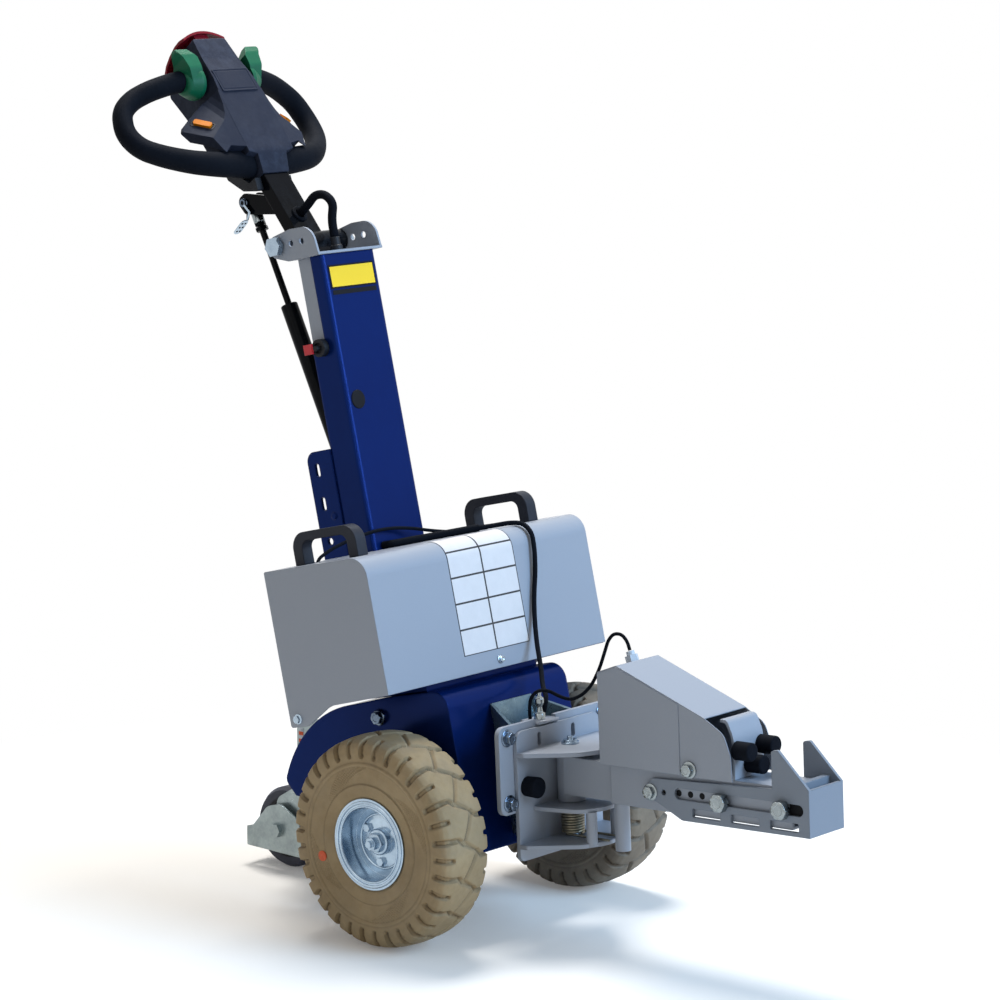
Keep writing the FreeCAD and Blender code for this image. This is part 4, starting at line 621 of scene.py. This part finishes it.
# raised ribs on the wall in four fans: each rib is a cosine ridge round the wheel, swept back as the radius grows
def wallRibs(t, r):
    edge = wallRib["edge"]
    band = np.clip((r - wallRib["from"]) / edge, 0, 1) * np.clip((wallRib["to"] - r) / edge, 0, 1)
    sweep = (t + wallRib["sweep"] * (r - wallRib["from"])) % (2 * np.pi)
    fan = np.clip((wallRib["fan"] - np.abs((sweep % (np.pi / 2)) - np.pi / 4)) / wallRib["fanEdge"], 0, 1)
    steep, cut = wallRib["steep"]
    return wallRib["height"] * band * fan * np.clip(np.cos(sweep * wallRib["count"]) * steep - cut, 0, 1)


# a tyre's skin moved to its axle, in place of its node
def makeTyre(side, name, node, rider, finish):
    points = tyreSurface(side)
    around, across = points.shape[:2]
    centre = np.array([lean["axleX"] / 1000, 0, lean["axleZ"] / 1000])
    faces = gridFaces(around, across, closedRows=True, closedColumns=True, flip=side > 0)
    piece = addPiece(name, points.reshape(-1, 3) + centre, [faces], finish, rider, sharpAngle=50)
    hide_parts(node)


makeTyre(-1, "rightTyreTread", "right_tyre", "right_wheel", "tyreTan")
# the far tyre takes the tan painted darker as painted shade
makeTyre(1, "leftTyreTread", "left_tyre", "left_wheel", "tyreTanPaintedShade")
spot = {"at": (-89.2, -251.2, 120.5), "profile": [(7.5, -2.0), (7.5, 0.5), (6.9, 0.8)]}
placePiece("tyreDot", [moved(turned(spot["profile"], 24), standing(spot["at"], (0, -1, 0)))], machine, "markOrange",
           "right_wheel")

# rims: a rolled bead and a small step on the outer lip, and a pressed ring on the disc
rimTrim = {"lipY": 250.3, "discY": 223.4, "rings": ((60.2, 2.3, "lipY"), (54.2, 1.5, "lipY"), (39.0, 2.0, "discY"))}


# torus section: points on a small circle round (radius, 0)
def beadProfile(radius, wire, steps=14):
    angle = np.linspace(0, -2 * np.pi, steps, endpoint=False)
    return np.column_stack([radius + wire * np.cos(angle), wire * np.sin(angle)])


# a part that stands outwards on both sides at x, y, z
def onSides(part, x, y, z):
    return [moved(part, standing((x, side * y, z), (0, side, 0))) for side in (-1, 1)]


for side, name, rider in ((-1, "rightRimRings", "right_wheel"), (1, "leftRimRings", "left_wheel")):
    parts = [moved(ring(beadProfile(radius, wire)[::-1], 96),
                   standing((0, side * rimTrim[face], lean["axleZ"]), (0, side, 0))) for radius, wire,
             face in rimTrim["rings"]]
    placePiece(name, parts, machine, "zinc", rider, 60)
# hub: a flanged nut and the axle's threaded end outside it
hub = {"foot": 229.0, "nut": (25, 10.5, 16.5), "stud": [(7.5, 0.0), (7.5, 14.0), (6.3, 15.2)]}
for side, name, rider in ((-1, "rightHubNut", "right_wheel"), (1, "leftHubNut", "left_wheel")):
    place = standing((0, side * hub["foot"], lean["axleZ"]), (0, side, 0))
    placePiece(name, [moved(part, place) for part in (hexHead(*hub["nut"]), turned(hub["stud"], 32))], machine,
               "zinc", rider)
print("tyres made")


# a copy of a node's tube with its doubles merged and its place baked into the mesh
def bentCopy(node, name, finish):
    piece = mergedCopy(node, name, finish, 60)
    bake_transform(piece)


# a copy of a node's mesh with points closer than the merge distance joined
def mergedCopy(node, name, finish, sharpAngle):
    mesh = nodes[node].data.copy()
    mesh.name = name
    work = bmesh.new()
    work.from_mesh(mesh)
    bmesh.ops.remove_doubles(work, verts=work.verts, dist=2e-6)
    for face in work.faces:
        face.smooth = True
    work.to_mesh(mesh)
    work.free()
    mesh.set_sharp_from_angle(angle=math.radians(sharpAngle))
    mesh.materials.clear()
    mesh.materials.append(finishes[finish])
    piece = linked(name, mesh)
    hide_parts(node)
    return piece


bentCopy("tiller_conduit", "conduitBend", "blackRubber")
bentCopy("hitch_lead", "hitchLeadBend", "blackRubber")

# bolts and screws: the back plate's corners, the chassis sides, the box's tabs and front, and the hitch cover
fixings = {"backPlateY": 104, "backPlateHeights": (300, 206), "chassisBolt": (-51.0, 133.0, 165.0),
           "tabScrew": (-106.3, 238.0, 185.7), "frontScrew": (78.0, 2.8, 216.0), "coverBolt": (277.8, 47.9, 274.8),
           "plateFace": -0.3, "plateHead": (16, 10.5, 12.5, 0.8), "chassisHead": (17, 8, 11.5, 0.6),
           "tabHead": (10, 6, 7.5, 0.6), "frontHead": (9, 5, 6.5, 0.6), "coverHead": (16, 9, 12, 0.7)}
corners = [moved(hexHead(*fixings["plateHead"]),
                 standing((fixings["plateFace"], side * fixings["backPlateY"], height), (1, 0, 0)))
           for side in (-1, 1) for height in fixings["backPlateHeights"]]
placePiece("backPlateBolts", corners, hitch, "boltZinc", "machine")
screws = onSides(hexHead(*fixings["tabHead"]), *fixings["tabScrew"])
screws.append(moved(hexHead(*fixings["frontHead"]), standing(fixings["frontScrew"], (1, 0, 0))))
placePiece("bodyBolts", screws, body, "zinc", "machine")
placePiece("chassisBolts", onSides(hexHead(*fixings["chassisHead"]), *fixings["chassisBolt"]), body, "boltZinc",
           "machine")
placePiece("coverBolts", onSides(hexHead(*fixings["coverHead"]), *fixings["coverBolt"]), hitch, "brightSteel",
           "hitch")

# hook: turned and chamfered heads for the bolts through its slots, and near-black discs of painted shade for the
# arm's row of holes behind the slot
hookFixings = {"bolts": ((202, 234, 16, 12.0, 8.0), (325, 234, 24, 0.0, 12.0), (428, 236, 24, 0.0, 12.0)),
               "headFoot": 39.3, "armHoleShades": (225.0, 248.0, 268.0, 288.0), "holeHeight": 236.8, "armHalfWidth": 33.7,
               "dimple": 0.5, "holeProfile": [(4.6, -1.0), (4.6, 0.15), (4.2, 0.25)]}
heads = []
for x, z, flats, flange, height in hookFixings["bolts"]:
    heads += onSides(hexHead(flats, height, flange, hookFixings["dimple"]), x, hookFixings["headFoot"], z)
bolts = placePiece("hookBoltHeads", heads, hitch, "brightSteel", "hitch")
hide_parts("hook_bolts")
hole = turned(hookFixings["holeProfile"], 28)
armHoleShades = [part for x in hookFixings["armHoleShades"] for part in onSides(hole, x, hookFixings["armHalfWidth"],
                                                                      hookFixings["holeHeight"])]
placePiece("armHoleShades", armHoleShades, hitch, "holeShade", "hitch")

# painted shade: near-black sheets behind the far ends of the hook's slots
slotShade = {"from": 437.0, "to": 462.0, "low": 226.0, "high": 246.5, "y": (34.15, 34.6)}
outline = [(slotShade["from"], slotShade["low"]), (slotShade["from"], slotShade["high"]), (slotShade["to"], slotShade["high"]),
           (slotShade["to"], slotShade["low"])]
strip = faced(plate(outline, *slotShade["y"]))
placePiece("slotEndShades", [strip, mirrored(strip)], hitch, "holeShade", "hitch")

# rubber stops on the mounting plate: straight buffers with soft rims
stops = {"foot": 6.0, "y": 72.0, "height": 226.0, "profile": [(14.2, -0.5), (14.2, 1.0), (14.7, 10.0), (15.0, 20.4),
                                                              (14.3, 21.8), (12.8, 22.2)]}
buffers = placePiece("mountStops", [moved(turned(stops["profile"], 48),
                                          standing((stops["foot"], side * stops["y"], stops["height"]),
                                                   (1, 0, 0))) for side in (-1, 1)], hitch, "blackRubber", "machine")
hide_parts("hitch_bumpers")

# tab with its plated ball stud: painted below the stud's foot
studFoot = 312.5
clamp = mergedCopy("lead_clamp", "leadTab", "silverPaint", 35)
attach(clamp, "machine")
clamp.data.materials.append(finishes["brightSteel"])
centres = np.empty(len(clamp.data.polygons) * 3)
clamp.data.polygons.foreach_get("center", centres)
heights = inRow(centres.reshape(-1, 3), hitch.inverted())[:, 2]
clamp.data.polygons.foreach_set("material_index", (heights > studFoot).astype(np.int32))

# hitch cover: the side sheets over the rear part, whose front edge is the seam
coverSheet = {"outline": [(120.6, 266.0), (120.6, 394.5), (153.5, 406.3), (262.0, 364.5), (262.0, 266.0)],
              "y": (46.5, 48.0)}
sheet = faced(plate(coverSheet["outline"], *coverSheet["y"]))
placePiece("coverSideSheets", [sheet, mirrored(sheet)], hitch, "silverPaint", "hitch")

# torsion spring: a helix round the pin and two straight legs
coil = {"pinX": 27.0, "radius": 15.2, "wire": 1.9, "low": 148.0, "high": 187.0, "turns": 10, "legEnd": 104.0,
        "legY": 14.0}
angle = np.linspace(0, 2 * np.pi * coil["turns"], coil["turns"] * 28)
helix = np.column_stack([coil["pinX"] + coil["radius"] * np.cos(angle), coil["radius"] * np.sin(angle),
                         np.linspace(coil["low"], coil["high"], len(angle))])
legs = [np.column_stack([np.linspace(coil["pinX"], coil["legEnd"], 12), np.full(12, side * coil["legY"]),
                         np.full(12, coil["low"])]) for side in (-1, 1)]
wires = [tubeAlong(path, coil["wire"], 10) for path in [helix] + legs]
springPiece = placePiece("springCoil", wires, hitch, "springWire", "machine", 60)
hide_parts("centring_spring")
print("hitch details made")

# a blank label of two by five cells that runs up the box's front and over its round edge
label = {"halfWidth": 71.4, "front": 78.0, "low": 231.0, "top": 400.0, "edge": 29.0, "lift": 0.3, "back": -0.2,
         "end": 47.0, "lines": (0.022, 0.036)}


# the box's section there: straight up the front, a quarter circle, and straight back on the top, lifted off the sheet
def labelPath(lift):
    turn = np.linspace(0, np.pi / 2, 16)
    centre = (label["front"] - label["edge"], label["top"] - label["edge"])
    straight = np.linspace(label["low"], centre[1], 12)[:-1]
    x = np.concatenate([np.full(11, label["front"] + lift), centre[0] + (label["edge"] + lift) * np.cos(turn),
                        [label["end"]]])
    z = np.concatenate([straight, centre[1] + (label["edge"] + lift) * np.sin(turn), [label["top"] + lift]])
    return x, z


# the label's section repeated in columns across the box
def labelGrid(lift, columns=7):
    x, z = labelPath(lift)
    y = np.linspace(label["halfWidth"], -label["halfWidth"], columns)
    return np.stack([np.repeat(x[:, None], columns, 1), np.repeat(y[None, :], len(x), 0),
                     np.repeat(z[:, None], columns, 1)], -1)


# white cells between black lines: a line where the face map comes near a cell's border
def gridFinish(name, across, along):
    material, tree, shader = newMaterial(name)
    split = addNode(tree, "ShaderNodeSeparateXYZ")
    tree.links.new(addNode(tree, "ShaderNodeUVMap", uv_map="faceMap").outputs["UV"], split.inputs[0])
    near = None
    for axis, cells, width in (("X", 2, across), ("Y", 5, along)):
        place = mathNode(tree, "MULTIPLY", split.outputs[axis], float(cells))
        off = mathNode(tree, "ABSOLUTE", mathNode(tree, "SUBTRACT", place, mathNode(tree, "ROUND", place)))
        line = mathNode(tree, "LESS_THAN", off, width)
        near = line if near is None else mathNode(tree, "MAXIMUM", near, line)
    mottle = placeGroup(tree, "mottle", Scale=60.0, Contrast=0.6).outputs["Fac"]
    paper = mixColour(tree, mottle, toLinear((206, 200, 198)), toLinear((216, 210, 208)))
    tree.links.new(mixColour(tree, near, paper, toLinear((22, 24, 28))), shader.inputs["Base Color"])
    tree.links.new(spread(tree, mottle, 0, 1, 0.42, 0.34), shader.inputs["Roughness"])
    return material


finishes["labelGrid"] = gridFinish("labelGrid", *label["lines"])
outer, inner = labelGrid(label["lift"]), labelGrid(label["back"])
points, faces = slab(outer, inner)
u, v = np.meshgrid(np.linspace(0, 1, outer.shape[0]), np.linspace(0, 1, outer.shape[1]), indexing="ij")
x, z = labelPath(label["lift"])
length = np.concatenate([[0], np.cumsum(np.hypot(np.diff(x), np.diff(z)))])
u = np.repeat((length / length[-1])[:, None], outer.shape[1], 1)
faceMap = np.tile(np.stack([v, u], -1).reshape(-1, 2), (2, 1))
addPiece("boxLabel", inRow(points, body), faces, "labelGrid", "machine", 30, faceMap)

# column: blank yellow badge in a black frame with a black strip under it, and a round plug
badge = {"front": -74.0, "half": (17.5, 48.0), "height": 803.5, "strip": (3.4, 46.0), "stripHeight": 780.6,
         "plugAt": (-34.0, 622.0), "plug": [(14.0, -1.0), (14.0, 0.6), (13.2, 1.4), (8.4, 1.7)], "border": 2.6,
         "frameRows": [(0, -0.5), (0, 0.5), (0.3, 0.7), (3.0, 0.7)], "faceRows": [(0, 0.4), (0, 0.9), (0.2, 1.0)],
         "stripRows": [(0, -0.5), (0, 0.4), (0.2, 0.5)]}
facing = Matrix.Rotation(math.radians(90), 4, "Y")
badgePlace = Matrix.Translation((badge["front"], 0, badge["height"])) @ facing
placePiece("badgeFrame", [moved(roundedPlate(*badge["half"], 1.0, badge["frameRows"]), badgePlace)], body,
           "trimBlack", "machine", 12)
placePiece("badgeFace", [moved(roundedPlate(*(half - badge["border"] for half in badge["half"]), 0.6,
                                            badge["faceRows"]), badgePlace)], body, "badgeYellow", "machine", 12)
stripPlace = Matrix.Translation((badge["front"], 0, badge["stripHeight"])) @ facing
plugPlace = standing((badge["front"], *badge["plugAt"]), (1, 0, 0))
placePiece("columnTrim", [moved(roundedPlate(*badge["strip"], 0.6, badge["stripRows"]), stripPlace),
                          moved(turned(badge["plug"], 36), plugPlace)], body, "trimBlack", "machine", 12)

# head: blank raised badge with a sunk field, and dark surrounds round the horn buttons
headTrim = {"face": 31.2, "badgeHeight": 279.5, "badgeHalf": (20.5, 37.0), "hornAt": (5.7, -85.5, 219.5),
            "hornAlong": (0.598, 0.368, -0.712), "hornNormal": (0.773, -0.501, 0.39), "horn": (19.0, 7.6, 4.5),
            "badgeRows": [(0, -2.5), (0, 0.9), (0.5, 1.4), (2.2, 1.4), (2.6, 0.9), (4.5, 0.9), (4.9, 1.3),
                          (8.0, 1.3)], "hornRows": [(0, -2.0), (0, 0.4), (0.6, 0.9), (2.0, 0.9), (2.3, 0.3),
                                                    (2.3, -2.0)]}
badgePlace = Matrix.Translation((headTrim["face"], 0, headTrim["badgeHeight"])) @ facing
placePiece("headBadge", [moved(roundedPlate(*headTrim["badgeHalf"], 3.5, headTrim["badgeRows"]), badgePlace)], tiller,
           "slatePlastic", "tiller")
along, normal = Vector(headTrim["hornAlong"]).normalized(), Vector(headTrim["hornNormal"]).normalized()
across = normal.cross(along).normalized()
hornPlace = Matrix.Translation(headTrim["hornAt"]) @ Matrix((along, across,
                                                             along.cross(across))).transposed().to_4x4()
surround = roundedFrame(*headTrim["horn"], headTrim["hornRows"])
one = moved(surround, hornPlace)
placePiece("hornSurrounds", [one, mirrored(one)], tiller, "blackPlastic", "tiller")

# release lever of the gas spring: a bent strip from the eye to a small oval plate with two rows of holes
lever = {"strip": [(-58, 113), (-54, 113), (-51.5, 98), (-64, 90.5), (-66, 92.5), (-55.5, 99)],
         "stripY": (-22.6, -20.6), "plateAt": (-80.0, -25.0, 90.0), "half": (15.5, 7.6), "pitch": 6.0, "holes": 1.9,
         "rows": (-3.2, 3.2), "along": (-8.5, 0.0, 8.5), "corner": 7.4,
         "plateRows": [(0.3, -0.8), (0, -0.5), (0, 0.5), (0.3, 0.8)], "holeHalf": 0.95,
         "eyeBoltAt": (-57, -17.4, 117.5), "eyeBolt": (11, 5, 6.8, 0.5)}
platePlace = Matrix.Translation(lever["plateAt"]) @ Matrix.Rotation(math.radians(-lever["pitch"]), 4, "Y")
strip = plate(lever["strip"], *lever["stripY"])
leverPiece = placePiece("leverPlate", [strip, moved(roundedPlate(*lever["half"], lever["corner"], lever["plateRows"]),
                                                    platePlace)], tiller, "zinc", "tiller")
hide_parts("release_lever")
placePiece("eyeBolt", [moved(hexHead(*lever["eyeBolt"]), standing(lever["eyeBoltAt"], (0, -1, 0)))], tiller,
           "boltZinc", "tiller")
# the plate's holes are near-black discs of painted shade
holes = [moved(turned([(lever["holes"], -lever["holeHalf"]), (lever["holes"], lever["holeHalf"])], 16),
               platePlace @ Matrix.Translation((x, y, 0))) for x in lever["along"] for y in lever["rows"]]
placePiece("leverHoleShades", holes, tiller, "holeShade", "tiller")

# pole: rubber ring round the conduit's way out; rod: plated collar under its eye
poleTrim = {"ringAt": (10.0, 0, 46.0), "ring": [(7.2, -0.5), (13.0, -0.5), (13.0, 2.2), (11.6, 3.4), (8.0, 3.4),
                                                (7.2, 2.4)], "collar": [(5.2, 33), (7.6, 33), (8.6, 32), (8.6, 10),
                                                                        (7.8, 8.5), (5.2, 8.5)]}
placePiece("conduitRing", [moved(ring(poleTrim["ring"]), standing(poleTrim["ringAt"], (1, 0, 0)))], tiller,
           "blackRubber", "tiller")
collar = ring([(radius, springLine.length - below) for radius, below in poleTrim["collar"]])
placePiece("rodCollar", [collar], spring, "brightSteel", "gas_rod")

# caster bracket: striped tape along the right gusset's rear edge
tape = {"x": -313.0, "halfWidth": 4.6, "face": -62.0, "low": 215.5, "high": 238.0, "corner": 0.4,
        "rows": [(0, -0.3), (0, 0.4), (0.15, 0.5)], "finishes": ("markOrange", "glandPlastic") * 2}
bands = np.linspace(tape["low"], tape["high"], 5)
for k, finish in enumerate(tape["finishes"]):
    outline = roundedPlate(tape["halfWidth"], (bands[k + 1] - bands[k]) / 2, tape["corner"], tape["rows"])
    bandPlace = Matrix.Translation((tape["x"], tape["face"],
                                    (bands[k] + bands[k + 1]) / 2)) @ Matrix.Rotation(math.radians(90), 4, "X")
    placePiece("tapeBand%d" % k, [moved(outline, bandPlace)], machine, finish, "machine")
print("trim made")

studio = {"floorColour": (238, 234, 228), "cameraAt": (3.2702, -3.74007, 1.46039),
          "backward": (0.64562105, -0.74479983, 0.16866141),
          "lens": 126.63, "ambient": 0.27, "ambientTint": (0.96, 0.98, 1.0), "floorGlow": 0.14, "floorHalf": 9,
          "floorZ": -0.0004, "fade": (0.8, 1.35), "lampAim": (0, 0, 0.5), "sensor": 36.0,
          "clipEnd": 50,
          "lamps": {"key": ((5.0, 1.3, 2.9), 3.4, 370.0, (0.43, 0.68, 1.0)),
                    "fill": ((-0.8, -3.4, 2.4), 2.0, 6.0, (1.0, 0.98, 0.94)),
                    "top": ((-0.9, 0.7, 3.6), 1.6, 128.0, (1.0, 0.99, 0.97))}}


# a round lamp that faces the middle of the object
def addLamp(name, place, size, power, tint):
    light = bpy.data.lights.new(name, "AREA")
    light.shape = "DISK"
    light.size = size
    light.energy = power
    light.color = tint
    lamp = linked(name, light)
    lamp.location = place
    lamp.rotation_euler = (Vector(studio["lampAim"]) - Vector(place)).to_track_quat("-Z", "Y").to_euler()


# camera, glossy and transmission rays in one mask
def seenDirectly(tree):
    path = addNode(tree, "ShaderNodeLightPath")
    seen = mathNode(tree, "MAXIMUM", path.outputs["Is Camera Ray"], path.outputs["Is Glossy Ray"])
    return mathNode(tree, "MAXIMUM", seen, path.outputs["Is Transmission Ray"])


# two shaders mixed by a factor and joined to an output of the given kind
def mixShaders(tree, factor, a, b, outputKind):
    mix = addNode(tree, "ShaderNodeMixShader", Fac=factor)
    tree.links.new(a.outputs[0], mix.inputs[1])
    tree.links.new(b.outputs[0], mix.inputs[2])
    tree.links.new(mix.outputs[0], addNode(tree, outputKind).inputs["Surface"])


# floor: a pale diffuse that keeps the shadow, lifted for rays that see it directly, plain white far from the object
def makeFloor():
    mesh = bpy.data.meshes.new("floor")
    half = studio["floorHalf"]
    corners = [(x * half, y * half, studio["floorZ"]) for x, y in ((-1, -1), (1, -1), (1, 1), (-1, 1))]
    mesh.from_pydata(corners, [], [(0, 1, 2, 3)])
    floor = linked("floor", mesh)
    material, tree = newMaterial("paleFloor")[:2]
    tree.nodes.clear()
    pale = addNode(tree, "ShaderNodeBsdfDiffuse", Color=toLinear(studio["floorColour"]))
    glow = mathNode(tree, "MULTIPLY", seenDirectly(tree), studio["floorGlow"])
    lift = addNode(tree, "ShaderNodeEmission", Strength=glow)
    near = addNode(tree, "ShaderNodeAddShader")
    tree.links.new(pale.outputs[0], near.inputs[0])
    tree.links.new(lift.outputs[0], near.inputs[1])
    white = addNode(tree, "ShaderNodeEmission", Strength=1.0)
    away = addNode(tree, "ShaderNodeVectorMath", operation="LENGTH")
    tree.links.new(addNode(tree, "ShaderNodeTexCoord").outputs["Object"], away.inputs[0])
    far = mathNode(tree, "MULTIPLY", spread(tree, away.outputs["Value"], *studio["fade"]), seenDirectly(tree))
    mixShaders(tree, far, near, white, "ShaderNodeOutputMaterial")
    mesh.materials.append(material)


# soft light for all rays but those that see the world directly, which get white
def makeWorld():
    world = bpy.data.worlds.new("studio")
    bpy.context.scene.world = world
    world.use_nodes = True
    tree = world.node_tree
    tree.nodes.clear()
    soft = addNode(tree, "ShaderNodeBackground", Color=studio["ambientTint"] + (1,), Strength=studio["ambient"])
    white = addNode(tree, "ShaderNodeBackground", Color=(1, 1, 1, 1), Strength=1.0)
    mixShaders(tree, seenDirectly(tree), soft, white, "ShaderNodeOutputWorld")


# the camera looks against its backward direction
def makeCamera():
    data = bpy.data.cameras.new("camera")
    data.sensor_width = studio["sensor"]
    data.lens = studio["lens"]
    data.clip_end = studio["clipEnd"]
    camera = linked("camera", data)
    camera.location = studio["cameraAt"]
    camera.rotation_euler = Vector([-v for v in studio["backward"]]).to_track_quat("-Z", "Y").to_euler()
    bpy.context.scene.camera = camera


makeFloor()
makeWorld()
for name, (place, size, power, tint) in studio["lamps"].items():
    addLamp(name, place, size, power, tint)
makeCamera()
bpy.context.scene.view_settings.view_transform = "Standard"
print("stage set")
